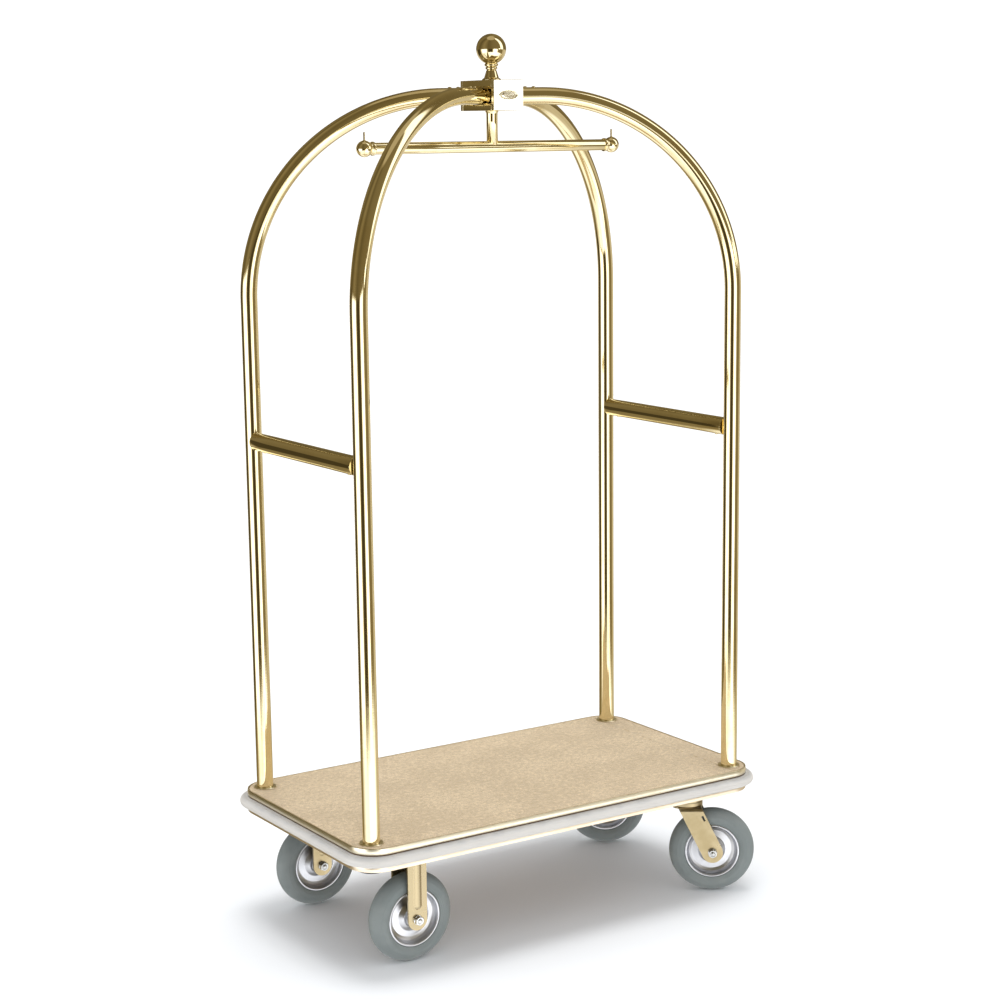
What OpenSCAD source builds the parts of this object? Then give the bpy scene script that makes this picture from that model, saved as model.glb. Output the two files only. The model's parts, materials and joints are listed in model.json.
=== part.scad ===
// Hotel luggage cart: a carpeted deck on four casters, with four arched
// tubes that meet in a hub under a ball finial, a garment bar and two end rails.
// Origin: floor level, under the middle of the deck. X runs along the long side,
// -Y is the front, +Z is up. The two rigid casters are at the -X end.

/* [Uprights and arches] */
// Distance between the left and right uprights, centre to centre
upright_span_x = 989; // [840:1:1180]
// Distance between the front and back uprights, centre to centre
upright_span_y = 495; // [420:1:590]
// Outside diameter of the upright tube
tube_d = 38.1; // [31.7:0.05:44]
// Wall of the upright tube
tube_wall = 1.6; // [1.2:0.1:3]
// Height of the tube axis where the arches meet the hub
arch_top = 1876; // [1560:1:2252]
// Radius of each arch's bend, at the tube's axis
bend_r = 443; // [370:1:450]

/* [Deck] */
// Length of the deck over its metal trim
deck_length = 1082; // [1060:1:1300]
// Width of the deck over its metal trim
deck_width = 594; // [565:1:720]
// Height of the carpet's top above the floor
deck_top = 299; // [290:1:360]
// Radius of the deck's corners, at the trim
corner_r = 65; // [50:1:80]
// Thickness of the trim strips
trim_t = 3; // [2:0.5:4]
// Height of the upper trim strip
trim_top_h = 14; // [10:1:18]
// Height of the lower trim strip
trim_low_h = 13; // [10:1:18]
// Shadow gap between the upper trim and the bumper
bumper_gap = 3; // [1:0.5:6]
// Height of the bumper
bumper_h = 23; // [18:1:28]
// How far the bumper stands out from the trim
bumper_out = 18; // [15:1:26]
// Thickness of the carpet
carpet_t = 6; // [4:1:8]
// Thickness of the deck board
board_t = 15; // [12:1:19]
// Width of the frame's edge battens
batten_w = 35; // [28:1:45]
// Width of the frame's cross battens, over the casters
cross_w = 130; // [118:1:150]
// Side of the frame's corner blocks
corner_block = 95; // [90:1:110]

/* [Upright feet] */
// Outside diameter of the ring round each upright on the carpet
escutcheon_d = 54; // [50:1:60]
// Thickness of that ring
escutcheon_t = 2.5; // [2:0.5:4]
// Wall of the socket that holds each upright
socket_wall = 3; // [2:0.5:4]
// Diameter of the socket's flange under the frame
socket_flange_d = 62; // [58:1:70]
// Thickness of the socket's flange
socket_flange_t = 6; // [4:0.5:8]
// Diameter of the bolt that holds each upright in its socket
foot_bolt_d = 10; // [8:1:12]

/* [Hub] */
// Size of the hub along X
hub_x = 79; // [72:1:90]
// Size of the hub along Y
hub_y = 136; // [124:1:150]
// Thickness of the front and back plates
face_t = 10; // [8:1:14]
// Thickness of the top plate
hub_top_t = 15; // [12:1:20]
// Thickness of the bottom plate
hub_low_t = 12; // [10:1:16]
// Size of the spider's body along X
spider_x = 50; // [44:1:60]
// Where each arch tube ends, measured from the hub's centre
arch_end = 58; // [56:1:66]
// Where each spigot ends inside its tube, measured from the hub's centre
spigot_end = 108; // [102:1:116]
// First tube screw, measured from the hub's centre
screw_near = 75; // [70:1:80]
// Spacing of the two screws on each tube
screw_pitch = 19; // [15:1:22]
// Diameter of the tube screws
screw_d = 5; // [4:1:6]
// Length of the plain oval badge
badge_l = 50; // [40:1:56]
// Height of the plain oval badge
badge_h = 21; // [16:1:26]

/* [Finial and stud] */
// Diameter of the finial ball
ball_d = 67; // [55:1:80]
// Height of the ball's centre above the hub
ball_rise = 68; // [64:1:84]
// Diameter of the finial's base on the hub
finial_foot_d = 42; // [36:1:50]
// Diameter of the stud through the hub
stud_d = 10; // [8:1:12]

/* [Garment bar] */
// Diameter of the garment bar
bar_d = 25.4; // [22:0.1:30]
// Wall of the garment bar and its drop tube
bar_wall = 2; // [1.5:0.5:3]
// Diameter of the drop tube
drop_d = 25.4; // [22:0.1:30]
// Drop from the hub's underside to the bar's axis
bar_drop = 79; // [60:1:120]
// Distance between the centres of the end balls
bar_span = 660; // [500:1:700]
// Diameter of the end balls
end_ball_d = 36; // [34:1:44]
// Diameter of the stop pin on each end ball
pin_d = 4; // [3:0.5:5]
// Height of the stop pin above the ball's centre
pin_rise = 36; // [28:1:44]

/* [End rails] */
// Diameter of the end rails
rail_d = 41; // [36:1:46]
// Wall of the end rails
rail_wall = 1.6; // [1.2:0.1:3]
// Height of the end rails above the floor
rail_height = 1116; // [800:1:1300]
// Distance of each rail screw from its upright's axis
rail_screw_in = 55; // [45:1:65]

/* [Casters] */
// Wheel diameter
wheel_d = 203.2; // [180:0.1:206]
// Tyre width
tyre_w = 50; // [44:1:54]
// Diameter of the rim over its rolled edge
rim_d = 131; // [109:0.5:140]
// Distance of the rigid casters from the deck's centre, along X
rigid_x = 384; // [370:1:400]
// Distance of the swivel casters from the deck's centre, along X
swivel_x = 392; // [370:1:400]
// Distance of every caster from the deck's centre line, along Y
caster_y = 216; // [200:1:222]
// Trail: how far the swivel wheels stand behind their kingpins
trail = 60; // [50:1:66]
// Direction in which the swivel wheels trail at rest, from +X
swivel_angle = -34.7; // [-180:0.1:180]
// Side gap between the tyre and the fork
fork_gap = 6; // [4:1:8]
// Thickness of the forks
fork_t = 5; // [4:0.5:6]
// Width of the rigid forks' legs
rigid_leg_w = 48; // [44:1:54]
// Width of the swivel forks' legs
swivel_leg_w = 50; // [44:1:54]
// Rake of the swivel forks' legs
rake = 26; // [20:1:30]
// Height of the ribs pressed in the rigid forks' legs
rib_h = 3; // [2:0.5:4]
// Caster plate length, along X
plate_x = 108; // [104:1:116]
// Caster plate width, along Y
plate_y = 92; // [88:1:100]
// Caster plate thickness
plate_t = 6; // [5:0.5:8]
// Bolt spacing of the caster plates, along X
plate_bolt_x = 88; // [86:1:92]
// Bolt spacing of the caster plates, along Y
plate_bolt_y = 68; // [66:1:72]
// Diameter of the plate bolts
plate_bolt_d = 8; // [6:1:9]
// Diameter of the axle bolts
axle_d = 10; // [8:1:12]
// Outside diameter of the axle sleeves
sleeve_d = 16; // [15:0.5:18]
// Outside diameter of the wheel bearings
bearing_d = 35; // [29:0.5:38]
// Width of each wheel bearing
bearing_w = 11; // [9:1:12]
// Distance from the wheel's middle to each bearing's outer face
bearing_out = 24; // [20:1:24]
// Width of the rim's barrel, under the tyre
barrel_w = 36; // [30:1:38]
// Radius of the rim's rolled edges
roll_r = 3; // [2:0.5:4]
// Diameter of the kingpins
kingpin_d = 12; // [10:1:14]
// Outside diameter of the swivel races
race_d = 76; // [70:1:78]
// Diameter of the balls in the swivel races
swivel_ball_d = 7.6; // [6:0.1:7.6]
// Number of balls in each swivel race
ball_count = 12; // [8:1:14]

/* [Fits] */
// Radial clearance of a running fit
running_gap = 0.05; // [0.02:0.01:0.09]
// Radial clearance of a fixed piece in its hole
seat_gap = 0.1; // [0.05:0.05:0.3]
// Clearance between pieces that turn past each other
turn_gap = 0.4; // [0.3:0.1:1]

/* [Hidden] */
$fn = 96;

eps = 0.01;
brass = [0.83, 0.69, 0.32];
bright_steel = [0.78, 0.79, 0.80];
dark_steel = [0.25, 0.24, 0.22];

// Corners, each as its signs along X and Y
corners = [[-1, -1], [1, -1], [-1, 1], [1, 1]];
ends = [-1, 1];

// Deck levels, from the carpet down
board_top = deck_top - carpet_t;
frame_top = board_top - board_t;
trim_top_low = deck_top - trim_top_h;
bumper_top = trim_top_low - bumper_gap;
bumper_low = bumper_top - bumper_h;
deck_low = bumper_low - trim_low_h;
frame_h = frame_top - deck_low;

// Uprights
tube_r = tube_d / 2;
foot_x = upright_span_x / 2;
foot_y = upright_span_y / 2;
foot_reach = sqrt(foot_x * foot_x + foot_y * foot_y);
bend_start = foot_reach - bend_r;
bend_level = arch_top - bend_r;
arch_turn = atan2(foot_y, foot_x);
tube_low = deck_low;
socket_r = tube_r + seat_gap + socket_wall;
plug_h = 30;

// Hub
spigot_r = tube_r - tube_wall - seat_gap;
hub_slot = tube_d + 2 * seat_gap + 1;
hub_slot_low = arch_top - hub_slot / 2;
hub_slot_top = arch_top + hub_slot / 2;
hub_low = hub_slot_low - hub_low_t;
hub_top = hub_slot_top + hub_top_t;
bar_level = hub_low - bar_drop;
ball_level = hub_top + ball_rise;
screw_places = [screw_near, screw_near + screw_pitch];
pin_foot_d = pin_d + 2;
badge_t = 2;

// Casters
wheel_r = wheel_d / 2;
rim_r = rim_d / 2;
fork_in = tyre_w / 2 + fork_gap;
fork_out = fork_in + fork_t;
plate_low = deck_low - plate_t;
swivel_crown = 6;
race_h = 8;
ball_gap = swivel_ball_d + turn_gap;
cup_low = plate_low - race_h;
crown_top = cup_low - ball_gap - race_h;
crown_low = crown_top - swivel_crown;
ball_circle = race_d / 2 - swivel_ball_d / 2 - 4;
washer_t = 2;
nut_h = 8;
nut_d = 19;
sleeve_half = fork_in;
barrel_half = barrel_w / 2;
seat_r = rim_r - 4;
sheet_t = 3;
web_t = 5;
rim_hub_r = bearing_d / 2 + 4;

function at_swivel(side) = [swivel_x, side * caster_y, 0];
function at_rigid(side) = [-rigid_x, side * caster_y, 0];

// ---------- shared shapes ----------

// Outline of the deck, drawn in by a given amount
module deck_outline(inset) {
    hx = deck_length / 2 - inset;
    hy = deck_width / 2 - inset;
    r = corner_r - inset;
    square([2 * (hx - r), 2 * hy], center = true);
    square([2 * hx, 2 * (hy - r)], center = true);
    for (c = corners) translate([c[0] * (hx - r), c[1] * (hy - r)]) circle(r);
}

// A flat layer of the deck
module deck_layer(inset, low, h) {
    translate([0, 0, low]) linear_extrude(h) deck_outline(inset);
}

// A band round the deck's edge
module deck_band(inset, wide, low, h) {
    translate([0, 0, low]) linear_extrude(h) difference() {
        deck_outline(inset);
        deck_outline(inset + wide);
    }
}

// Places its children on every upright's axis
module at_feet() {
    for (c = corners) translate([c[0] * foot_x, c[1] * foot_y, 0]) children();
}

// Turns its children from +X to the direction of one arch
module along_arch(c) {
    rotate([0, 0, atan2(c[1] * foot_y, c[0] * foot_x)]) children();
}

// A ring about Z
module ring(outer_r, inner_r, low, h) {
    translate([0, 0, low]) difference() {
        cylinder(r = outer_r, h = h);
        translate([0, 0, -eps]) cylinder(r = inner_r, h = h + 2 * eps);
    }
}

// A hexagonal bolt head or nut about Z, with chamfered corners
module hex(across, h) {
    intersection() {
        cylinder(d = across / cos(30), h = h, $fn = 6);
        cylinder(d = across * 1.12, h = h);
    }
}

// Places its children along a wheel's axle: their Z becomes the wheel's axis,
// and the wheel's centre is their origin
module on_axle() {
    translate([0, 0, wheel_r]) rotate([90, 0, 0]) children();
}

// Puts its children at a swivel caster, turned to its direction
module at_swivel_caster(side) {
    translate(at_swivel(side)) rotate([0, 0, swivel_angle]) children();
}

// ---------- deck ----------

module deck_frame() {
    color([0.32, 0.27, 0.22]) difference() {
        union() {
            deck_band(trim_t, batten_w, deck_low, frame_h);
            translate([0, 0, deck_low]) linear_extrude(frame_h) intersection() {
                deck_outline(trim_t);
                union() {
                    translate([-rigid_x, 0]) square([cross_w, deck_width], center = true);
                    translate([swivel_x, 0]) square([cross_w, deck_width], center = true);
                    for (c = corners) translate([c[0] * foot_x, c[1] * foot_y])
                        square(corner_block, center = true);
                }
            }
        }
        at_feet() translate([0, 0, deck_low - eps])
            cylinder(r = socket_r + seat_gap, h = frame_h + 2 * eps);
        at_plate_bolts() translate([0, 0, -eps])
            cylinder(d = plate_bolt_d + 2 * seat_gap, h = frame_h + 2 * eps);
    }
}

module deck_board() {
    color([0.72, 0.58, 0.40]) difference() {
        deck_layer(trim_t, frame_top, board_t);
        at_feet() translate([0, 0, frame_top - eps])
            cylinder(r = socket_r + seat_gap, h = board_t + 2 * eps);
    }
}

module carpet() {
    carpet_inset = trim_t + 1;
    color([0.80, 0.70, 0.53]) difference() {
        deck_layer(carpet_inset, board_top, carpet_t);
        at_feet() translate([0, 0, board_top - eps])
            cylinder(r = tube_r + 1, h = carpet_t + 2 * eps);
    }
}

module trim_top() {
    color(brass) deck_band(0, trim_t, trim_top_low, trim_top_h);
}

module trim_bottom() {
    color(brass) deck_band(0, trim_t, deck_low, trim_low_h);
}

// Half-round bumper section: x outward from the trim line, y upward
module bumper_section() {
    round_r = bumper_h / 2;
    translate([-trim_t, 0]) square([trim_t + bumper_out - round_r, bumper_h]);
    translate([bumper_out - round_r, 0]) intersection() {
        translate([0, round_r]) circle(round_r);
        square([round_r, bumper_h]);
    }
}

module bumper() {
    hx = deck_length / 2;
    hy = deck_width / 2;
    turns = [[1, 1], [-1, 1], [-1, -1], [1, -1]];
    color([0.80, 0.81, 0.80]) translate([0, 0, bumper_low]) {
        for (i = [0:3]) {
            away = i % 2 == 0 ? hx : hy;
            half = (i % 2 == 0 ? hy : hx) - corner_r;
            rotate([0, 0, 90 * i]) translate([away, half, 0]) rotate([90, 0, 0])
                linear_extrude(2 * half) bumper_section();
            translate([turns[i][0] * (hx - corner_r), turns[i][1] * (hy - corner_r), 0])
                rotate([0, 0, 90 * i]) rotate_extrude(angle = 90)
                    translate([corner_r, 0]) bumper_section();
        }
    }
}

// ---------- uprights ----------

module tube_section() {
    difference() {
        circle(tube_r);
        circle(tube_r - tube_wall);
    }
}

// One tube: straight up from the deck, round the bend, and level to the hub
module upright(c) {
    color(brass) difference() {
        along_arch(c) {
            translate([foot_reach, 0, tube_low])
                linear_extrude(bend_level - tube_low) tube_section();
            translate([bend_start, 0, bend_level]) rotate([90, 0, 0])
                rotate_extrude(angle = 90) translate([bend_r, 0]) tube_section();
            translate([bend_start, 0, arch_top]) rotate([0, -90, 0])
                linear_extrude(bend_start - arch_end) tube_section();
        }
        along_arch(c) for (s = screw_places) translate([s, 0, arch_top])
            cylinder(d = screw_d + 2 * seat_gap, h = tube_d);
    }
}

module upright_escutcheons() {
    bevel = 1.5;
    bore_r = tube_r + 2 * seat_gap;
    edge_r = escutcheon_d / 2;
    color(brass) at_feet() translate([0, 0, deck_top]) rotate_extrude()
        polygon([[bore_r, 0], [edge_r, 0], [edge_r, escutcheon_t - bevel],
                 [edge_r - bevel, escutcheon_t], [bore_r, escutcheon_t]]);
}

module upright_sockets() {
    color(dark_steel) at_feet() difference() {
        union() {
            translate([0, 0, deck_low - socket_flange_t])
                cylinder(d = socket_flange_d, h = socket_flange_t);
            translate([0, 0, deck_low]) cylinder(r = socket_r, h = board_top - deck_low);
        }
        translate([0, 0, deck_low]) cylinder(r = tube_r + seat_gap, h = board_top);
        translate([0, 0, deck_low - socket_flange_t - eps])
            cylinder(d = foot_bolt_d + 2 * seat_gap, h = socket_flange_t + 2 * eps);
    }
}

module upright_plugs() {
    color(bright_steel) at_feet()
        ring(spigot_r, foot_bolt_d / 2 + seat_gap, deck_low, plug_h);
}

module socket_bolts() {
    head_h = 6;
    color(bright_steel) at_feet() {
        translate([0, 0, deck_low - socket_flange_t - head_h]) hex(17, head_h);
        translate([0, 0, deck_low - socket_flange_t - eps])
            cylinder(d = foot_bolt_d, h = socket_flange_t + plug_h);
    }
}

// ---------- hub ----------

module stud_hole(low, h) {
    translate([0, 0, low - eps]) cylinder(d = stud_d + 2 * seat_gap, h = h + 2 * eps);
}

// Cast body between the plates, with a spigot for each tube
module hub_spider() {
    color(bright_steel) difference() {
        union() {
            translate([0, 0, arch_top])
                cube([spider_x, hub_y - 2 * face_t, hub_slot], center = true);
            for (c = corners) along_arch(c) translate([0, 0, arch_top])
                rotate([0, 90, 0]) cylinder(r = spigot_r, h = spigot_end);
        }
        stud_hole(hub_slot_low, hub_slot);
        for (c = corners) along_arch(c) for (s = screw_places)
            translate([s, 0, arch_top]) cylinder(d = screw_d + 2 * seat_gap, h = tube_d);
    }
}

module hub_layer(low, h) {
    difference() {
        translate([-hub_x / 2, -(hub_y / 2 - face_t), low])
            cube([hub_x, hub_y - 2 * face_t, h]);
        stud_hole(low, h);
    }
}

module hub_top_plate() {
    color(brass) hub_layer(hub_slot_top, hub_top_t);
}

module hub_bottom_plate() {
    color(brass) hub_layer(hub_low, hub_low_t);
}

// Front or back plate, with its upright edges rounded
module hub_face(side) {
    edge_r = 3;
    color(brass) translate([0, 0, hub_low]) linear_extrude(hub_top - hub_low)
        translate([0, side * (hub_y / 2 - face_t / 2)]) {
            square([hub_x - 2 * edge_r, face_t], center = true);
            translate([0, -side * edge_r / 2]) square([hub_x, face_t - edge_r], center = true);
            for (e = ends) translate([e * (hub_x / 2 - edge_r), side * (face_t / 2 - edge_r)])
                circle(edge_r);
        }
}

// Plain oval outline
module oval(l, h) {
    polygon([for (a = [0:7.5:352.5]) [l / 2 * cos(a), h / 2 * sin(a)]]);
}

module hub_badges() {
    rim_w = 5;
    color(brass) for (side = ends)
        translate([0, side * hub_y / 2, (hub_low + hub_top) / 2])
            rotate([90, 0, side > 0 ? 180 : 0]) {
                linear_extrude(badge_t) oval(badge_l, badge_h);
                linear_extrude(badge_t + 1) oval(badge_l - 2 * rim_w, badge_h - 2 * rim_w + 2);
            }
}

// Domed screws through the tube wall into the spigots
module arch_screws() {
    head_r = screw_d * 0.85;
    head_h = 2.4;
    sit = arch_top + tube_r;
    color(brass) for (c = corners) along_arch(c) for (s = screw_places)
        translate([s, 0, 0]) {
            translate([0, 0, arch_top + 6]) cylinder(d = screw_d, h = tube_r - 6 + eps);
            translate([0, 0, sit]) intersection() {
                cylinder(r = head_r, h = head_h);
                translate([0, 0, head_h - head_r * 1.25]) sphere(head_r * 1.25);
            }
        }
}

// Turned base: a flared foot, a waist and two beads
module finial_base() {
    foot_r = finial_foot_d / 2;
    bead_r = [14, 15.5];
    bead_h = 7;
    waist_r = 9;
    seat = ball_rise - sqrt(ball_d * ball_d / 4 - bead_r[1] * bead_r[1]) + 2;
    waist_top = seat - 2 * bead_h;
    color(brass) translate([0, 0, hub_top]) difference() {
        rotate_extrude() union() {
            polygon([[0, 0], [foot_r, 0], [foot_r, 2.5], [foot_r - 5, 6],
                     [waist_r + 2, waist_top - 2], [waist_r + 1, waist_top], [0, waist_top]]);
            for (i = [0, 1]) {
                translate([0, waist_top + i * bead_h])
                    square([bead_r[i] - bead_h / 2, bead_h + (i == 0 ? eps : 0)]);
                translate([bead_r[i] - bead_h / 2, waist_top + (i + 0.5) * bead_h])
                    circle(d = bead_h);
            }
        }
        translate([0, 0, -eps]) cylinder(d = stud_d + 2 * seat_gap, h = seat + 2 * eps);
        translate([0, 0, ball_rise]) sphere(d = ball_d + 2 * seat_gap);
    }
}

module finial_ball() {
    bore_depth = ball_d / 2 + 6;
    color(brass) translate([0, 0, ball_level]) difference() {
        sphere(d = ball_d);
        translate([0, 0, -bore_depth]) cylinder(d = stud_d + 2 * seat_gap, h = bore_depth);
    }
}

// Threaded rod that clamps the finial, the hub and the drop tube together
module hub_stud() {
    low = hub_low - 24;
    color(bright_steel) translate([0, 0, low])
        cylinder(d = stud_d, h = ball_level - 2 - low);
}

// ---------- garment bar ----------

module drop_tube() {
    boss_h = 20;
    color(brass) difference() {
        translate([0, 0, bar_level]) cylinder(d = drop_d, h = hub_low - bar_level);
        translate([0, 0, bar_level])
            cylinder(d = drop_d - 2 * bar_wall, h = hub_low - bar_level - boss_h);
        stud_hole(hub_low - boss_h - 1, boss_h + 1);
        translate([-drop_d, 0, bar_level]) rotate([0, 90, 0])
            cylinder(d = bar_d + eps, h = 2 * drop_d);
    }
}

bar_half = bar_span / 2 - end_ball_d / 4;

module garment_bar() {
    color(brass) translate([-bar_half, 0, bar_level]) rotate([0, 90, 0])
        ring(bar_d / 2, bar_d / 2 - bar_wall, 0, 2 * bar_half);
}

module bar_end_balls() {
    color(brass) for (e = ends) difference() {
        translate([e * bar_span / 2, 0, bar_level]) sphere(d = end_ball_d);
        translate([-bar_half - seat_gap, 0, bar_level]) rotate([0, 90, 0])
            cylinder(d = bar_d + 2 * seat_gap, h = 2 * (bar_half + seat_gap));
        translate([e * bar_span / 2, 0, bar_level]) cylinder(d = pin_foot_d + 2 * seat_gap, h = end_ball_d);
    }
}

// Each pin has a thicker foot in its ball, which ends level with the ball's top
module bar_stop_pins() {
    color(brass) for (e = ends) translate([e * bar_span / 2, 0, bar_level]) {
        cylinder(d = pin_foot_d, h = end_ball_d / 2);
        cylinder(d = pin_d, h = pin_rise - pin_d / 2);
        translate([0, 0, pin_rise - pin_d / 2]) sphere(d = pin_d);
    }
}

// ---------- end rails ----------

rail_flange = 2;
rail_reach = foot_y - tube_r - rail_flange;

module side_rail(side) {
    color(brass) translate([side * foot_x, rail_reach, rail_height]) rotate([90, 0, 0]) difference() {
        ring(rail_d / 2, rail_d / 2 - rail_wall, 0, 2 * rail_reach);
        for (s = rail_screw_spots()) translate([0, 0, s]) rotate([90, 0, 0])
            cylinder(d = screw_d + 2 * seat_gap, h = rail_d);
    }
}

// Screw places along a rail, from its back end
function rail_screw_spots() =
    [rail_screw_in - tube_r - rail_flange, 2 * rail_reach - (rail_screw_in - tube_r - rail_flange)];

// Stub at each rail end: a flange against the upright and a plug in the rail
module rail_stubs() {
    stub_l = rail_screw_in - tube_r + 12;
    neck_r = 9;
    color(brass) for (c = corners)
        translate([c[0] * foot_x, c[1] * foot_y, rail_height]) difference() {
            rotate([c[1] > 0 ? 90 : -90, 0, 0]) {
                cylinder(r = neck_r, h = tube_r + rail_flange);
                translate([0, 0, tube_r]) cylinder(d = rail_d, h = rail_flange);
                translate([0, 0, tube_r])
                    cylinder(r = rail_d / 2 - rail_wall - seat_gap, h = stub_l);
            }
            translate([0, 0, -rail_d]) cylinder(r = tube_r, h = 2 * rail_d);
            translate([0, -c[1] * rail_screw_in, -rail_d])
                cylinder(d = screw_d + 2 * seat_gap, h = rail_d);
        }
}

module rail_screws() {
    head_r = screw_d * 0.85;
    head_h = 2.4;
    color(brass) for (c = corners)
        translate([c[0] * foot_x, c[1] * (foot_y - rail_screw_in), rail_height - rail_d / 2]) {
            translate([0, 0, -eps]) cylinder(d = screw_d, h = rail_d / 2 - 6);
            intersection() {
                translate([0, 0, -head_h]) cylinder(r = head_r, h = head_h);
                translate([0, 0, head_r * 1.25 - head_h]) sphere(head_r * 1.25);
            }
        }
}

// ---------- casters ----------

// Places its children at every caster plate bolt, at the frame's underside
module at_plate_bolts() {
    for (side = ends, at = [at_rigid(side), at_swivel(side)], c = corners)
        translate(at + [c[0] * plate_bolt_x / 2, c[1] * plate_bolt_y / 2, deck_low])
            children();
}

// Caster plate with its bolt holes
module caster_plate() {
    difference() {
        translate([-plate_x / 2, -plate_y / 2, plate_low]) cube([plate_x, plate_y, plate_t]);
        for (c = corners)
            translate([c[0] * plate_bolt_x / 2, c[1] * plate_bolt_y / 2, plate_low - eps])
                cylinder(d = plate_bolt_d + 2 * seat_gap, h = plate_t + 2 * eps);
    }
}

module plate_bolts() {
    head_h = 5;
    color(bright_steel) at_plate_bolts() {
        translate([0, 0, -plate_t - head_h]) hex(13, head_h);
        translate([0, 0, -plate_t - eps]) cylinder(d = plate_bolt_d, h = plate_t + frame_h - 4);
    }
}

module axle_hole() {
    on_axle() translate([0, 0, -fork_out * 2])
        cylinder(d = axle_d + 2 * seat_gap, h = fork_out * 4);
}

// Rigid caster: plate and an upright fork with a rib pressed in each leg
module rigid_fork(side) {
    crown_h = 6;
    crown_x = 60;
    rib_r = 20;
    rib_low = wheel_r + rigid_leg_w / 2 + 10;
    color(brass) translate(at_rigid(side)) {
        caster_plate();
        difference() {
            union() {
                translate([-crown_x / 2, -fork_out, plate_low - crown_h])
                    cube([crown_x, 2 * fork_out, crown_h]);
                for (e = ends) {
                    translate([0, e * (fork_in + fork_t / 2), wheel_r]) rotate([90, 0, 0])
                        cylinder(d = rigid_leg_w, h = fork_t, center = true);
                    translate([-rigid_leg_w / 2, e * (fork_in + fork_t / 2) - fork_t / 2, wheel_r])
                        cube([rigid_leg_w, fork_t, plate_low - wheel_r]);
                    translate([0, e * (fork_out + rib_h - rib_r), rib_low]) {
                        cylinder(r = rib_r, h = plate_low - rib_low);
                        sphere(rib_r);
                    }
                }
            }
            translate([-crown_x, -fork_in, 0]) cube([2 * crown_x, 2 * fork_in, plate_low - crown_h]);
            axle_hole();
        }
    }
}

// Fixed half of a swivel caster: plate, race cup and dust skirt
module swivel_plate(side) {
    skirt_t = 2;
    color(brass) translate(at_swivel(side)) difference() {
        union() {
            caster_plate();
            translate([0, 0, cup_low]) cylinder(d = race_d, h = race_h);
            ring(race_d / 2, race_d / 2 - skirt_t, cup_low - ball_gap + 1, ball_gap);
        }
        translate([0, 0, cup_low - eps])
            cylinder(d = kingpin_d + 2 * seat_gap, h = race_h + plate_t + 2 * eps);
    }
}

// Kingpin bolts with their nuts: fixed in the plates, and the forks turn on them
module kingpins() {
    nut_low = crown_low - turn_gap - nut_h;
    color(bright_steel) for (side = ends) translate(at_swivel(side)) {
        translate([0, 0, nut_low - 2]) cylinder(d = kingpin_d, h = deck_low - eps - nut_low + 2);
        difference() {
            translate([0, 0, nut_low]) hex(nut_d, nut_h);
            translate([0, 0, nut_low - eps]) cylinder(d = kingpin_d + 2 * seat_gap, h = nut_h + 2 * eps);
        }
    }
}

module swivel_balls(side) {
    color(bright_steel) translate(at_swivel(side) + [0, 0, cup_low - ball_gap / 2])
        for (i = [0:ball_count - 1]) rotate([0, 0, 360 / ball_count * i])
            translate([ball_circle, 0, 0]) sphere(d = swivel_ball_d);
}

// One raked leg's outline: x along the trail, y up, the axle at [trail, wheel_r]
module swivel_leg() {
    leg_l = (crown_top - wheel_r) / cos(rake) + swivel_leg_w;
    slot = [5, 14];
    difference() {
        union() {
            translate([trail, wheel_r]) circle(d = swivel_leg_w);
            intersection() {
                translate([trail, wheel_r]) rotate(rake)
                    translate([-swivel_leg_w / 2, 0]) square([swivel_leg_w, leg_l]);
                translate([-100, 0]) square([300, crown_top]);
            }
        }
        translate([trail, wheel_r]) rotate(rake)
            translate([swivel_leg_w / 2 - 10, (crown_top - wheel_r) / cos(rake) - 48]) square(slot);
    }
}

// Block along X with its two upper long edges rounded
module bent_block(half, top, bend) {
    long = 3 * trail;
    translate([-long / 2, -half, 0]) cube([long, 2 * half, top - bend]);
    translate([-long / 2, bend - half, 0]) cube([long, 2 * (half - bend), top]);
    for (e = ends) translate([-long / 2, e * (half - bend), top - bend]) rotate([0, 90, 0])
        cylinder(r = bend, h = long);
}

// Turning half of a swivel caster: one sheet bent over the wheel, with the lower race on top
module swivel_fork(side) {
    inner_bend = 8;
    crown_d = 2 * fork_out + 4;
    color(brass) at_swivel_caster(side) difference() {
        union() {
            translate([0, 0, crown_top]) cylinder(d = race_d, h = race_h);
            intersection() {
                difference() {
                    bent_block(fork_out, crown_top, inner_bend + fork_t);
                    bent_block(fork_in, crown_low, inner_bend);
                }
                union() {
                    translate([0, fork_out, 0]) rotate([90, 0, 0])
                        linear_extrude(2 * fork_out) swivel_leg();
                    translate([0, 0, crown_low - eps]) cylinder(d = crown_d, h = swivel_crown + eps);
                }
            }
            translate([0, 0, crown_low]) cylinder(r = fork_in - inner_bend, h = swivel_crown + eps);
        }
        translate([0, 0, crown_low - eps])
            cylinder(d = kingpin_d + 2 * running_gap, h = swivel_crown + race_h + 2 * eps);
        translate([trail, 0, 0]) axle_hole();
    }
}

// Axle bolt with a flanged head, and its flanged nut, about Z
module axle_set() {
    head_h = 6.5;
    end_h = 2;
    flange_r = nut_d / 2 + 1.5;
    half = fork_out + washer_t;
    translate([0, 0, -half]) cylinder(d = axle_d, h = 2 * half + nut_h + end_h);
    translate([0, 0, -half]) cylinder(r = flange_r, h = washer_t);
    translate([0, 0, -half - head_h]) hex(nut_d, head_h + eps);
    difference() {
        union() {
            translate([0, 0, fork_out]) cylinder(r = flange_r, h = washer_t);
            translate([0, 0, half - eps]) hex(nut_d, nut_h + eps);
        }
        cylinder(d = axle_d + 2 * seat_gap, h = 2 * (half + nut_h));
    }
}

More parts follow.
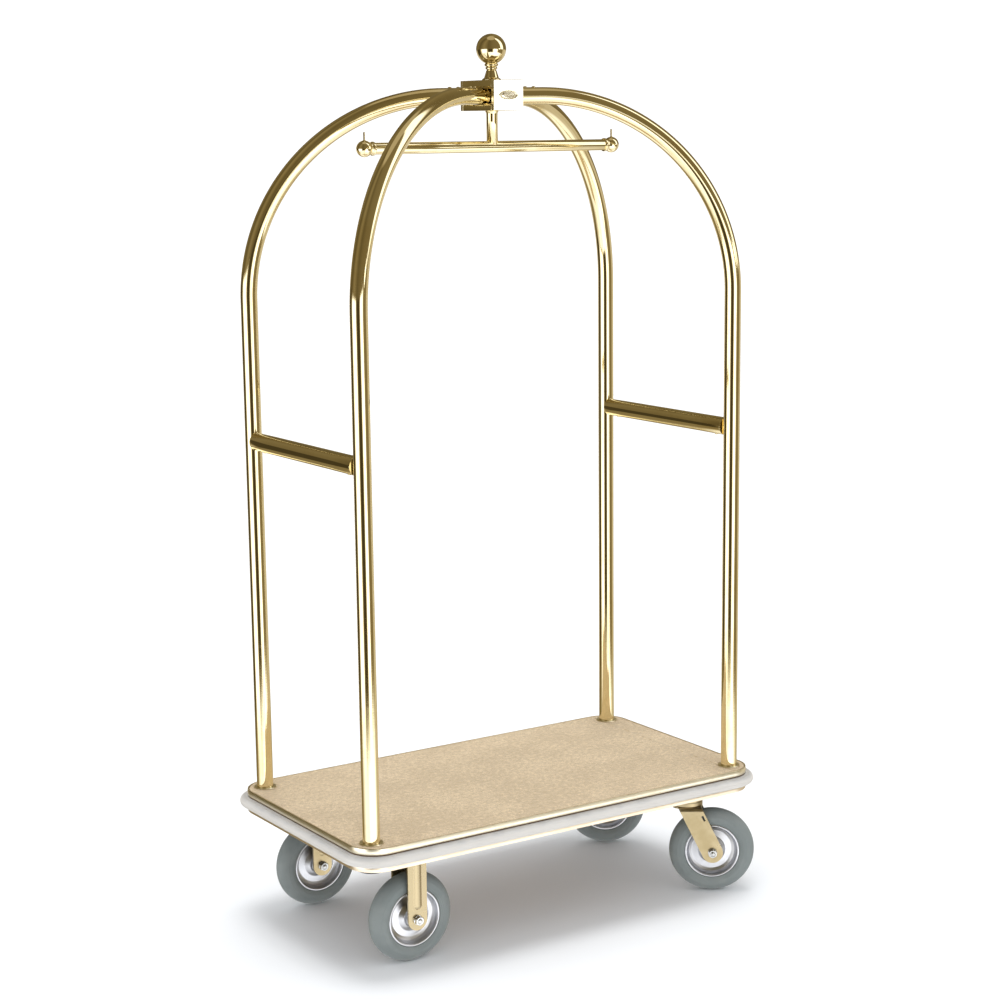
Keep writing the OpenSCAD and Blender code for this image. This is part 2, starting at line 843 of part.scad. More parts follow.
// Spacer clamped between a fork's legs, on which the bearings turn, about Z
module axle_sleeve() {
    ring(sleeve_d / 2, axle_d / 2 + seat_gap, -sleeve_half, 2 * sleeve_half);
    for (e = ends) translate([0, 0, e * (sleeve_half - 1.5) - 1.5])
        ring(sleeve_d / 2 + 3, sleeve_d / 2 - eps, 0, 3);
}

module rigid_axles() {
    color(bright_steel) for (side = ends) translate(at_rigid(side)) on_axle() axle_set();
}

module rigid_sleeves() {
    color(bright_steel) for (side = ends) translate(at_rigid(side)) on_axle() axle_sleeve();
}

module swivel_axle(side) {
    color(bright_steel) at_swivel_caster(side) translate([trail, 0, 0]) on_axle() axle_set();
}

module swivel_sleeve(side) {
    color(bright_steel) at_swivel_caster(side) translate([trail, 0, 0]) on_axle() axle_sleeve();
}

// Puts its children at a wheel, with the wheel's axis along their Z
module at_wheel(c) {
    if (c[0] < 0) translate(at_rigid(c[1])) on_axle() children();
    else at_swivel_caster(c[1]) translate([trail, 0, 0]) on_axle() children();
}

// Section of the rim's two rolled edges, grown by a given gap
module rolled_edges(gap) {
    for (e = ends) translate([rim_r - roll_r, e * (barrel_half + roll_r / 2)])
        circle(roll_r + gap);
}

// Tyre: a round crown on a base that sits on the rim's barrel
module tyre(c) {
    crown_r = tyre_w / 2;
    color([0.47, 0.52, 0.53]) at_wheel(c) rotate_extrude() difference() {
        union() {
            translate([wheel_r - crown_r, 0]) circle(crown_r);
            translate([seat_r, -barrel_half])
                square([wheel_r - crown_r - seat_r, 2 * barrel_half]);
        }
        translate([0, -tyre_w]) square([seat_r, 2 * tyre_w]);
        rolled_edges(seat_gap);
    }
}

// Outer half of the rim's section, from the hub's face to the barrel's edge
function rim_half() = [
    [sleeve_d / 2 + 2, bearing_out], [rim_hub_r, bearing_out], [rim_hub_r, bearing_out * 0.6],
    [rim_hub_r + 10, web_t], [seat_r - sheet_t - 9, web_t * 0.6],
    [seat_r - sheet_t, barrel_half / 2], [seat_r - sheet_t, barrel_half], [seat_r, barrel_half]
];

// Pressed rim: hub, dished web and barrel in one section, with rolled edges
module rim(c) {
    half = rim_half();
    last = len(half) - 1;
    color(bright_steel) at_wheel(c) difference() {
        union() {
            rotate_extrude()
                polygon(concat(half, [for (i = [last:-1:0]) [half[i][0], -half[i][1]]]));
            rotate_extrude() rolled_edges(0);
        }
        for (e = ends) rotate([e > 0 ? 0 : 180, 0, 0])
            translate([0, 0, bearing_out - bearing_w])
                cylinder(r = bearing_d / 2 + seat_gap, h = 2 * bearing_w);
    }
}

// Two sealed bearings, pressed in the rim's hub
module bearings(c) {
    color(dark_steel) at_wheel(c) for (e = ends) rotate([e > 0 ? 0 : 180, 0, 0])
        ring(bearing_d / 2, sleeve_d / 2 + running_gap, bearing_out - bearing_w, bearing_w);
}

// ---------- output ----------

deck_frame();
deck_board();
carpet();
trim_top();
bumper();
trim_bottom();
upright([-1, -1]);  // upright_front_left
upright([1, -1]);  // upright_front_right
upright([-1, 1]);  // upright_back_left
upright([1, 1]);  // upright_back_right
upright_escutcheons();
upright_sockets();
upright_plugs();
socket_bolts();
hub_spider();
hub_top_plate();
hub_bottom_plate();
hub_face(-1);  // hub_front_plate
hub_face(1);  // hub_back_plate
hub_badges();
arch_screws();
finial_base();
finial_ball();
hub_stud();
drop_tube();
garment_bar();
bar_end_balls();
bar_stop_pins();
side_rail(-1);  // side_rail_left
side_rail(1);  // side_rail_right
rail_stubs();
rail_screws();
rigid_fork(-1);  // rigid_fork_front
rigid_fork(1);  // rigid_fork_back
swivel_plate(-1);  // swivel_plate_front
swivel_plate(1);  // swivel_plate_back
plate_bolts();
kingpins();
swivel_balls(-1);  // swivel_balls_front
swivel_balls(1);  // swivel_balls_back
swivel_fork(-1);  // swivel_fork_front
swivel_fork(1);  // swivel_fork_back
rigid_axles();
rigid_sleeves();
swivel_axle(-1);  // swivel_axle_front
swivel_axle(1);  // swivel_axle_back
swivel_sleeve(-1);  // swivel_sleeve_front
swivel_sleeve(1);  // swivel_sleeve_back
tyre([-1, -1]);  // tyre_front_left
tyre([1, -1]);  // tyre_front_right
tyre([-1, 1]);  // tyre_back_left
tyre([1, 1]);  // tyre_back_right
rim([-1, -1]);  // rim_front_left
rim([1, -1]);  // rim_front_right
rim([-1, 1]);  // rim_back_left
rim([1, 1]);  // rim_back_right
bearings([-1, -1]);  // bearings_front_left
bearings([1, -1]);  // bearings_front_right
bearings([-1, 1]);  // bearings_back_left
bearings([1, 1]);  // bearings_back_right
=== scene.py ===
import json
import math
import bmesh
import bpy
import numpy as np
from mathutils import Matrix, Vector


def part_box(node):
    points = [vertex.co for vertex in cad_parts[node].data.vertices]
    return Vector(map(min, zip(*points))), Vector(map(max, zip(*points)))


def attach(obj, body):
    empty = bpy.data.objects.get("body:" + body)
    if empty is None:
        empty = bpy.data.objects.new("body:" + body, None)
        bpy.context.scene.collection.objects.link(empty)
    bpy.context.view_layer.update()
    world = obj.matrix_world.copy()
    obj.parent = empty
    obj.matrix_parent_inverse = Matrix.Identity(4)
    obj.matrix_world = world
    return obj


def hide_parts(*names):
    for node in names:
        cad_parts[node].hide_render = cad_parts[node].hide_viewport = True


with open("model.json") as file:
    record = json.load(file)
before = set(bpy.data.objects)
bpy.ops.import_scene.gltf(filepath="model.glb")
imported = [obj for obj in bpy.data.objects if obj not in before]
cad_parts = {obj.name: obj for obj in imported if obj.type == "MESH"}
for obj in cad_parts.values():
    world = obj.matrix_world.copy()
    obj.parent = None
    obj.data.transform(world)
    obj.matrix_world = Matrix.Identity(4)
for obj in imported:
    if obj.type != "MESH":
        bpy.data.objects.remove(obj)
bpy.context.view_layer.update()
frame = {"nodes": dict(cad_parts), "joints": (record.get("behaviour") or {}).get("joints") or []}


# short forms for node trees


def math2(tree, operation, first, second, third=None):
    # one Math node; each value is a number or a socket
    node = tree.nodes.new("ShaderNodeMath")
    node.operation = operation
    for socket, value in zip(node.inputs, (first, second, third)):
        if value is None:
            continue
        if isinstance(value, (int, float)):
            socket.default_value = value
        else:
            tree.links.new(value, socket)
    return node.outputs[0]


def noise(tree, vector, scale, detail=3.0, stretch=None):
    # a Noise texture on a vector, stretched by a Mapping node where asked
    node = tree.nodes.new("ShaderNodeTexNoise")
    node.inputs["Detail"].default_value = detail
    if isinstance(scale, (int, float)):
        node.inputs["Scale"].default_value = scale
    else:
        tree.links.new(scale, node.inputs["Scale"])
    if stretch:
        mapping = tree.nodes.new("ShaderNodeMapping")
        mapping.inputs["Scale"].default_value = stretch
        tree.links.new(vector, mapping.inputs["Vector"])
        vector = mapping.outputs[0]
    tree.links.new(vector, node.inputs["Vector"])
    return node.outputs["Fac"]


def steps(tree, value, low, high):
    # 0 below low, 1 above high, smooth between
    node = tree.nodes.new("ShaderNodeMapRange")
    node.interpolation_type = "SMOOTHSTEP"
    node.inputs["From Min"].default_value = low
    node.inputs["From Max"].default_value = high
    tree.links.new(value, node.inputs["Value"])
    return node.outputs["Result"]


def between(tree, first, second, share):
    # first + (second - first) * share
    return math2(tree, "MULTIPLY_ADD", math2(tree, "SUBTRACT", second, first), share, first)


def blendColours(tree, share, first, second):
    # the first colour where share is 0, the second where it is 1
    node = tree.nodes.new("ShaderNodeMix")
    node.data_type = "RGBA"
    for label, value in (("A", first), ("B", second)):
        socket = next(s for s in node.inputs if s.name == label and s.type == "RGBA")
        if isinstance(value, tuple):
            socket.default_value = (*value, 1)
        else:
            tree.links.new(value, socket)
    tree.links.new(share, node.inputs["Factor"])
    return next(s for s in node.outputs if s.type == "RGBA")


# camera, light and floor

cameraSet = {
    "place": (-2.6765, -4.0856, 1.8072),
    "yaw": 33.31,  # degrees to the right of +Y
    "pitch": 10.89,  # degrees down
    "roll": -0.67,
    "lens": 77.18,
    "sensor": 36.0,
    "shiftY": 0.04,
}


def makeCamera(given):
    # the view direction from yaw and pitch, then the two image axes turned by the roll
    yaw, pitch, roll = (math.radians(given[k]) for k in ("yaw", "pitch", "roll"))
    ahead = Vector((math.sin(yaw) * math.cos(pitch), math.cos(yaw) * math.cos(pitch), -math.sin(pitch)))
    level = Vector((math.cos(yaw), -math.sin(yaw), 0))
    upright = level.cross(ahead)
    right = level * math.cos(roll) + upright * math.sin(roll)
    above = upright * math.cos(roll) - level * math.sin(roll)
    camera = bpy.data.objects.new("camera", bpy.data.cameras.new("camera"))
    camera.data.lens = given["lens"]
    camera.data.sensor_width = given["sensor"]
    camera.data.shift_y = given["shiftY"]
    camera.data.clip_end = 60
    axes = Matrix((right, above, -ahead)).transposed()
    camera.matrix_world = Matrix.Translation(given["place"]) @ axes.to_4x4()
    bpy.context.scene.collection.objects.link(camera)
    bpy.context.scene.camera = camera


makeCamera(cameraSet)

studio = {
    "domeRadius": 8.0,
    "domeMiddle": 1.0,
    "floorSize": 60.0,
    "floorColour": (0.90, 0.92, 0.945),
    "backdrop": 1.15,  # as the camera sees it
    "skyLight": 0.96,
    "sun": {"power": 1.15, "wide": 24.0, "lean": (-3.0, 2.0)},
    "brightest": 3.0,
    "darkTint": (1.0, 0.76, 0.32),
    # what the metal sees at its own height, by angle round from -X through -Y: place and value
    "strips": [
        (0.000, 2.3), (0.052, 2.3), (0.080, 0.25), (0.111, 0.065), (0.181, 0.065), (0.205, 1.0),
        (0.216, 2.4), (0.285, 2.4), (0.305, 0.5), (0.325, 0.26), (0.420, 0.22), (0.445, 0.6), (0.600, 0.75),
        (0.770, 0.65), (0.795, 0.07), (0.885, 0.06), (0.915, 0.3), (0.955, 2.3),
    ],
    # and above that
    "upper": [
        (0.00, 0.28), (0.10, 0.14), (0.20, 0.20), (0.365, 0.22), (0.378, 1.8), (0.435, 1.8), (0.455, 0.16),
        (0.62, 0.24), (0.72, 0.13), (0.80, 0.22), (0.90, 0.12), (1.0, 0.28),
    ],
    # and below it, down to the floor at its feet
    "lower": [
        (0.00, 1.6), (0.10, 1.5), (0.15, 2.1), (0.28, 2.3), (0.36, 1.9), (0.41, 0.8), (0.50, 0.6),
        (0.62, 0.4), (0.78, 0.25), (0.88, 0.25), (0.94, 0.9), (1.0, 1.4),
    ],
    "feet": 1.3,
    "window": {"around": (0.327, 0.358), "rise": (0.085, 0.163), "soft": 0.004, "value": 3.0},
    "zenith": 0.5,
    "edges": {
        "feet": (-0.80, -0.55), "below": (-0.345, -0.285), "above": (0.07, 0.13), "zenith": (0.93, 0.96),
    },
}


def newMaterial(name):
    material = bpy.data.materials.new(name)
    material.use_nodes = True
    material.node_tree.nodes.clear()
    return material, material.node_tree.nodes, material.node_tree.links


def greyRamp(nodes, stops, top):
    ramp = nodes.new("ShaderNodeValToRGB")
    bar = ramp.color_ramp.elements
    while len(bar) < len(stops):
        bar.new(0.5)
    for element, (place, value) in zip(bar, stops):
        element.position = place
        element.color = (value / top, value / top, value / top, 1)
    return ramp.outputs[0]


def makeStudio(given):
    scene = bpy.context.scene
    scene.view_settings.view_transform = "Standard"
    scene.world = bpy.data.worlds.new("studioWorld")
    scene.world.use_nodes = True
    tree = scene.world.node_tree
    back = tree.nodes["Background"]
    ray = tree.nodes.new("ShaderNodeLightPath").outputs["Is Camera Ray"]
    tree.links.new(between(tree, given["skyLight"], given["backdrop"], ray), back.inputs["Strength"])
    back.inputs["Color"].default_value = (1, 1, 1, 1)

    # floor: one large flat sheet under the wheels
    half = given["floorSize"] / 2
    corners = [(-half, -half, 0), (half, -half, 0), (half, half, 0), (-half, half, 0)]
    mesh = bpy.data.meshes.new("floor")
    mesh.from_pydata(corners, [], [(0, 1, 2, 3)])
    floor = bpy.data.objects.new("floor", mesh)
    scene.collection.objects.link(floor)
    material, nodes, links = newMaterial("paleFloor")
    paint = nodes.new("ShaderNodeBsdfPrincipled")
    paint.inputs["Base Color"].default_value = (*given["floorColour"], 1)
    paint.inputs["Roughness"].default_value = 0.9
    paint.inputs["Specular IOR Level"].default_value = 0.1
    links.new(paint.outputs[0], nodes.new("ShaderNodeOutputMaterial").inputs[0])
    mesh.materials.append(material)
    floor.visible_glossy = False

    # dome: a whole ball of dark and bright panels that only mirrors see
    around, up = np.linspace(0, 2 * math.pi, 97), np.linspace(-math.pi / 2, math.pi / 2, 49)
    a, e = np.meshgrid(around, up, indexing="ij")
    shape = np.stack([np.cos(e) * np.cos(a), np.cos(e) * np.sin(a), np.sin(e)], -1) * given["domeRadius"]
    dome = gridPiece("dome", shape)
    dome.location.z = given["domeMiddle"]
    material, nodes, links = newMaterial("studioPanels")
    tree = material.node_tree
    spot = nodes.new("ShaderNodeTexCoord").outputs["Object"]
    radial = nodes.new("ShaderNodeTexGradient")
    radial.gradient_type = "RADIAL"
    links.new(spot, radial.inputs[0])
    bright = given["brightest"]
    strips, upper, lower = (greyRamp(nodes, given[k], bright) for k in ("strips", "upper", "lower"))
    for ramp in (strips, upper, lower):
        links.new(radial.outputs["Fac"], ramp.node.inputs[0])
    split = nodes.new("ShaderNodeSeparateXYZ")
    links.new(spot, split.inputs[0])
    rise = math2(tree, "DIVIDE", split.outputs["Z"], given["domeRadius"])
    seen = between(tree, given["feet"] / bright, lower, steps(tree, rise, *given["edges"]["feet"]))
    seen = between(tree, seen, strips, steps(tree, rise, *given["edges"]["below"]))
    seen = between(tree, seen, upper, steps(tree, rise, *given["edges"]["above"]))
    seen = between(tree, seen, given["zenith"] / bright, steps(tree, rise, *given["edges"]["zenith"]))
    window = given["window"]
    pane = None
    for value, key in ((radial.outputs["Fac"], "around"), (rise, "rise")):
        for edge, way in zip(window[key], (1, -1)):
            past = math2(tree, "MULTIPLY", value, way)
            side = steps(tree, past, edge * way - window["soft"], edge * way + window["soft"])
            pane = math2(tree, "MULTIPLY", side, pane if pane else 1.0)
    seen = between(tree, seen, window["value"] / bright, pane)
    tinted = blendColours(tree, steps(tree, seen, 0.0, 0.4), given["darkTint"], (1.0, 1.0, 1.0))
    glow = nodes.new("ShaderNodeEmission")
    links.new(math2(tree, "MULTIPLY", seen, bright), glow.inputs["Strength"])
    links.new(tinted, glow.inputs["Color"])
    links.new(glow.outputs[0], nodes.new("ShaderNodeOutputMaterial").inputs[0])
    dome.data.materials.append(material)
    for way in ("camera", "diffuse", "shadow", "transmission", "volume_scatter"):
        setattr(dome, "visible_" + way, False)

    lamp = bpy.data.lights.new("overhead", "SUN")
    lamp.energy = given["sun"]["power"]
    lamp.angle = math.radians(given["sun"]["wide"])
    overhead = bpy.data.objects.new("overhead", lamp)
    overhead.rotation_euler = (*(math.radians(v) for v in given["sun"]["lean"]), 0)
    overhead.visible_camera = False
    overhead.visible_glossy = False
    scene.collection.objects.link(overhead)


# surfaces from grids


def gridPiece(name, points, closeU=False, closeV=False, capU=False, smooth=True, u=None, v=None):
    # a face between each four neighbours of a grid; a closed direction joins its last row to its
    # first, and capU covers the first and last rows. u and v are the lengths for the UV map.
    countU, countV = points.shape[:2]
    alongU = np.arange(countU if closeU else countU - 1)
    alongV = np.arange(countV if closeV else countV - 1)
    i, j = (index.ravel() for index in np.meshgrid(alongU, alongV, indexing="ij"))
    corners = [(i, j), (i + 1, j), (i + 1, j + 1), (i, j + 1)]
    faces = np.stack([(a % countU) * countV + b % countV for a, b in corners], 1)
    mesh = bpy.data.meshes.new(name)
    whole = faces.tolist()
    if capU:
        whole.append(list(range(countV)))
        whole.append(list(range((countU - 1) * countV, countU * countV)))
    mesh.from_pydata(points.reshape(-1, 3).tolist(), [], whole)
    if u is not None:
        spots = np.stack([np.stack([u[a], v[b]], -1) for a, b in corners], 1).reshape(-1, 2)
        spots = np.concatenate([spots, np.zeros((len(mesh.loops) - len(spots), 2))])
        mesh.uv_layers.new(name="along").data.foreach_set("uv", spots.astype(np.float32).ravel())
    if smooth:
        mesh.polygons.foreach_set("use_smooth", np.ones(len(mesh.polygons), bool))
    piece = bpy.data.objects.new(name, mesh)
    bpy.context.scene.collection.objects.link(piece)
    return piece


def closeUp(piece):
    # merges the doubles at poles and seams, drops empty faces and turns every face outwards
    work = bmesh.new()
    work.from_mesh(piece.data)
    bmesh.ops.remove_doubles(work, verts=work.verts, dist=2e-6)
    bmesh.ops.dissolve_degenerate(work, edges=work.edges, dist=1e-7)
    bmesh.ops.recalc_face_normals(work, faces=work.faces)
    work.to_mesh(piece.data)
    work.free()
    piece.data.update()
    return piece


def filleted(corners, arcSteps=5, closed=False):
    # an outline whose corners (x, y, radius) are replaced by arcs that touch both sides
    given = np.array([c[:2] for c in corners], float)
    out = []
    count = len(corners)
    for k, (x, y, radius) in enumerate(corners):
        here = given[k]
        if radius == 0 or (not closed and k in (0, count - 1)):
            out.append(here[None])
            continue
        back, on = given[k - 1] - here, given[(k + 1) % count] - here
        backLength, onLength = np.linalg.norm(back), np.linalg.norm(on)
        back, on = back / backLength, on / onLength
        half = math.acos(max(-1.0, min(1.0, float(back @ on)))) / 2
        reach = min(radius / math.tan(half), 0.49 * backLength, 0.49 * onLength)
        bend = reach * math.tan(half)
        middle = here + (back + on) / np.linalg.norm(back + on) * bend / math.sin(half)
        first, last = here + back * reach - middle, here + on * reach - middle
        turn = math.atan2(first[0] * last[1] - first[1] * last[0], float(first @ last))
        t = np.linspace(0, turn, arcSteps + 1)
        out.append(middle + np.stack([
            first[0] * np.cos(t) - first[1] * np.sin(t), first[0] * np.sin(t) + first[1] * np.cos(t)], 1))
    return np.concatenate(out)


def lengths(points, closed=False):
    # distance run along a chain of points, with one more value where it closes
    chain = np.concatenate([points, points[:1]]) if closed else points
    return np.concatenate([[0], np.cumsum(np.linalg.norm(np.diff(chain, axis=0), axis=1))])


def turned(name, outline, place, closed=False, segments=96):
    # an outline of (radius, height) carried round an axis: radius along the two cross axes, height
    # along the axis. place is a matrix whose Z is the axis.
    a = np.linspace(0, 2 * math.pi, segments, endpoint=False)
    radius, height = outline[:, 0], outline[:, 1]
    local = np.stack([
        np.cos(a)[:, None] * radius, np.sin(a)[:, None] * radius, np.ones(segments)[:, None] * height], -1)
    turn = np.array(place)
    world = local @ turn[:3, :3].T + turn[:3, 3]
    aroundRun = np.append(a, 2 * math.pi) * float(radius.max())
    piece = gridPiece(name, world, closeU=True, closeV=closed, u=aroundRun, v=lengths(outline, closed))
    return closeUp(piece)


def axisPlace(centre, axis):
    # a place whose Z points along the axis
    way = Vector(axis).normalized()
    return Matrix.Translation(centre) @ way.to_track_quat("Z", "Y").to_matrix().to_4x4()


def join(name, pieces):
    # several meshes as one piece
    work = bmesh.new()
    for piece in pieces:
        work.from_mesh(piece.data)
        bpy.data.objects.remove(piece)
    mesh = bpy.data.meshes.new(name)
    work.to_mesh(mesh)
    work.free()
    whole = bpy.data.objects.new(name, mesh)
    bpy.context.scene.collection.objects.link(whole)
    return whole


def finishPiece(piece, material, slot, body, *nodes):
    piece.data.materials.clear()
    piece.data.materials.append(material)
    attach(piece, body)
    if nodes:
        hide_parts(*nodes)
    return piece


makeStudio(studio)
print("camera, lights and floor set")


# effects shared by materials


def effect(name, inputs, outputs):
    # a node group with named inputs (name, kind, value) and outputs (name, kind)
    group = bpy.data.node_groups.new(name, "ShaderNodeTree")
    for label, kind, value in inputs:
        socket = group.interface.new_socket(label, in_out="INPUT", socket_type="NodeSocket" + kind)
        if value is not None:
            socket.default_value = value
    for label, kind in outputs:
        group.interface.new_socket(label, in_out="OUTPUT", socket_type="NodeSocket" + kind)
    return group, group.nodes.new("NodeGroupInput"), group.nodes.new("NodeGroupOutput")


def makeSmudges():
    # handling marks: large soft patches broken up by finer ones
    group, given, out = effect(
        "smudges", [("Vector", "Vector", None), ("Scale", "Float", 6.0), ("Cover", "Float", 0.5)],
        [("Mask", "Float")])
    broad = noise(group, given.outputs["Vector"], given.outputs["Scale"], 2.0)
    fineScale = math2(group, "MULTIPLY", given.outputs["Scale"], 9.0)
    fine = noise(group, given.outputs["Vector"], fineScale, 5.0)
    mixed = math2(group, "MULTIPLY_ADD", fine, 0.35, math2(group, "MULTIPLY", broad, 0.8))
    lifted = math2(group, "ADD", mixed, math2(group, "MULTIPLY_ADD", given.outputs["Cover"], 0.4, -0.2))
    group.links.new(steps(group, lifted, 0.48, 0.72), out.inputs["Mask"])
    return group


def makeHairlines():
    # fine polishing lines that run one way, as a height and a mask
    group, given, out = effect(
        "hairlines", [("Vector", "Vector", None), ("Density", "Float", 900.0)],
        [("Height", "Float"), ("Mask", "Float")])
    lines = noise(group, given.outputs["Vector"], given.outputs["Density"], 2.0, (0.012, 1.0, 1.0))
    rare = noise(group, given.outputs["Vector"], 40.0, 2.0, (0.05, 1.0, 1.0))
    group.links.new(lines, out.inputs["Height"])
    group.links.new(steps(group, rare, 0.62, 0.72), out.inputs["Mask"])
    return group


def makeGrain():
    # a fine pebbled skin, with a broad unevenness under it
    group, given, out = effect(
        "grain", [("Vector", "Vector", None), ("Scale", "Float", 700.0)],
        [("Height", "Float"), ("Patch", "Float")])
    pebble = group.nodes.new("ShaderNodeTexVoronoi")
    group.links.new(given.outputs["Vector"], pebble.inputs["Vector"])
    group.links.new(given.outputs["Scale"], pebble.inputs["Scale"])
    broad = noise(group, given.outputs["Vector"], 14.0, 3.0)
    waves = math2(group, "MULTIPLY", broad, 0.4)
    height = math2(group, "MULTIPLY_ADD", pebble.outputs["Distance"], 0.6, waves)
    group.links.new(height, out.inputs["Height"])
    group.links.new(broad, out.inputs["Patch"])
    return group


def makeDustAndTopShade():
    # a colour laid on what faces up, thicker in soft patches: dust on the sockets and the frame, and painted
    # shade that darkens the top of the bumper
    group, given, out = effect(
        "dust", [("Vector", "Vector", None), ("Amount", "Float", 0.3)], [("Mask", "Float")])
    facing = group.nodes.new("ShaderNodeNewGeometry")
    split = group.nodes.new("ShaderNodeSeparateXYZ")
    group.links.new(facing.outputs["Normal"], split.inputs[0])
    upward = steps(group, split.outputs["Z"], 0.2, 1.0)
    patch = noise(group, given.outputs["Vector"], 30.0, 4.0)
    uneven = math2(group, "MULTIPLY_ADD", steps(group, patch, 0.35, 0.7), 0.35, 0.65)
    both = math2(group, "MULTIPLY", upward, uneven)
    group.links.new(math2(group, "MULTIPLY", both, given.outputs["Amount"]), out.inputs["Mask"])
    return group


smudges, hairlines, grain, dust = makeSmudges(), makeHairlines(), makeGrain(), makeDustAndTopShade()
print("effects built")


# materials


def placeEffect(nodes, group, vector, **values):
    # one effect's group in a material, with its own values
    node = nodes.new("ShaderNodeGroup")
    node.node_tree = group
    for label, value in values.items():
        node.inputs[label].default_value = value
    node.id_data.links.new(vector, node.inputs["Vector"])
    return node


def objectSpot(nodes):
    return nodes.new("ShaderNodeTexCoord").outputs["Object"]


def bump(tree, height, distance):
    node = tree.nodes.new("ShaderNodeBump")
    node.inputs["Distance"].default_value = distance
    node.inputs["Strength"].default_value = 1.0
    tree.links.new(height, node.inputs["Height"])
    return node.outputs[0]


def metal(name, colour, stained, rough, markRough, lines):
    # polished or plated metal: its colour darkens a little and its gloss softens under handling marks,
    # and polishing lines of the given depth run along X
    material, nodes, links = newMaterial(name)
    tree = material.node_tree
    vector = objectSpot(nodes)
    marks = placeEffect(nodes, smudges, vector, Scale=7.0, Cover=0.45)
    scratch = placeEffect(nodes, hairlines, vector, Density=900.0)
    shader = nodes.new("ShaderNodeBsdfPrincipled")
    shader.inputs["Metallic"].default_value = 1.0
    links.new(blendColours(tree, marks.outputs["Mask"], colour, stained), shader.inputs["Base Color"])
    worn = math2(tree, "MULTIPLY_ADD", marks.outputs["Mask"], markRough, rough)
    worn = math2(tree, "MULTIPLY_ADD", scratch.outputs["Mask"], markRough * 0.6, worn)
    links.new(worn, shader.inputs["Roughness"])
    links.new(bump(tree, scratch.outputs["Height"], lines), shader.inputs["Normal"])
    links.new(shader.outputs[0], nodes.new("ShaderNodeOutputMaterial").inputs[0])
    return material


def coated(name, colour, second, rough, grainScale, depth, dusty=0.0, dustColour=(0.6, 0.57, 0.5)):
    # rubber, vinyl or paint: two tones in soft patches, a pebbled skin and a colour on what faces up: some
    # dust on the sockets and frame, painted shade on the bumper's top
    material, nodes, links = newMaterial(name)
    tree = material.node_tree
    vector = objectSpot(nodes)
    skin = placeEffect(nodes, grain, vector, Scale=grainScale)
    dustAndShadeLayer = placeEffect(nodes, dust, vector, Amount=dusty)
    marks = placeEffect(nodes, smudges, vector, Scale=12.0, Cover=0.35)
    shader = nodes.new("ShaderNodeBsdfPrincipled")
    base = blendColours(tree, steps(tree, skin.outputs["Patch"], 0.4, 0.65), colour, second)
    # on the bumper this top layer is painted shade that darkens its upward-facing half; on the sockets and
    # frame it is dust
    top = blendColours(tree, dustAndShadeLayer.outputs["Mask"], base, dustColour)
    links.new(top, shader.inputs["Base Color"])
    links.new(math2(tree, "MULTIPLY_ADD", marks.outputs["Mask"], 0.15, rough), shader.inputs["Roughness"])
    links.new(bump(tree, skin.outputs["Height"], depth), shader.inputs["Normal"])
    links.new(shader.outputs[0], nodes.new("ShaderNodeOutputMaterial").inputs[0])
    return material


pileSet = {
    "light": (0.76, 0.60, 0.385), "dark": (0.56, 0.43, 0.262), "fleck": (0.44, 0.327, 0.19),
    "depth": 0.0014,
}


def makeCarpetPile():
    # short cut pile: brushed light and dark patches, tufts and single fibres
    material, nodes, links = newMaterial("carpetPile")
    tree = material.node_tree
    vector = objectSpot(nodes)
    broad = noise(tree, vector, 9.0, 4.0)
    middle = noise(tree, vector, 90.0, 5.0)
    tuft = noise(tree, vector, 300.0, 3.0)
    fibre = noise(tree, vector, 1200.0, 2.0)
    shade = math2(tree, "MULTIPLY_ADD", middle, 0.75, math2(tree, "MULTIPLY", broad, 0.45))
    brushed = blendColours(tree, steps(tree, shade, 0.46, 0.76), pileSet["dark"], pileSet["light"])
    speckle = math2(tree, "MULTIPLY_ADD", fibre, 0.5, math2(tree, "MULTIPLY", tuft, 0.6))
    flecked = blendColours(tree, steps(tree, speckle, 0.62, 0.40), brushed, pileSet["fleck"])
    shader = nodes.new("ShaderNodeBsdfPrincipled")
    shader.inputs["Roughness"].default_value = 0.95
    shader.inputs["Specular IOR Level"].default_value = 0.15
    shader.inputs["Sheen Weight"].default_value = 0.35
    shader.inputs["Sheen Roughness"].default_value = 0.5
    links.new(flecked, shader.inputs["Base Color"])
    height = math2(tree, "MULTIPLY_ADD", tuft, 0.7, math2(tree, "MULTIPLY", fibre, 0.5))
    links.new(bump(tree, height, pileSet["depth"]), shader.inputs["Normal"])
    links.new(shader.outputs[0], nodes.new("ShaderNodeOutputMaterial").inputs[0])
    return material


woodSet = {"early": (0.36, 0.25, 0.15), "late": (0.25, 0.165, 0.095), "ply": (0.24, 0.14, 0.07)}


def makeBoardWood():
    # plywood: long grain on the face, thin plies on the edge
    material, nodes, links = newMaterial("boardWood")
    tree = material.node_tree
    vector = objectSpot(nodes)
    flow = noise(tree, vector, 9.0, 6.0, (0.7, 9.0, 9.0))
    plies = nodes.new("ShaderNodeTexWave")
    plies.bands_direction = "Z"
    plies.inputs["Scale"].default_value = 55.0
    plies.inputs["Distortion"].default_value = 0.6
    links.new(vector, plies.inputs["Vector"])
    face = blendColours(tree, steps(tree, flow, 0.35, 0.7), woodSet["early"], woodSet["late"])
    edge = blendColours(tree, plies.outputs["Fac"], face, woodSet["ply"])
    facing = nodes.new("ShaderNodeNewGeometry")
    split = nodes.new("ShaderNodeSeparateXYZ")
    links.new(facing.outputs["Normal"], split.inputs[0])
    level = math2(tree, "ABSOLUTE", split.outputs["Z"], 0.0)
    shader = nodes.new("ShaderNodeBsdfPrincipled")
    shader.inputs["Roughness"].default_value = 0.7
    links.new(blendColours(tree, steps(tree, level, 0.3, 0.7), edge, face), shader.inputs["Base Color"])
    links.new(bump(tree, flow, 0.0006), shader.inputs["Normal"])
    links.new(shader.outputs[0], nodes.new("ShaderNodeOutputMaterial").inputs[0])
    return material


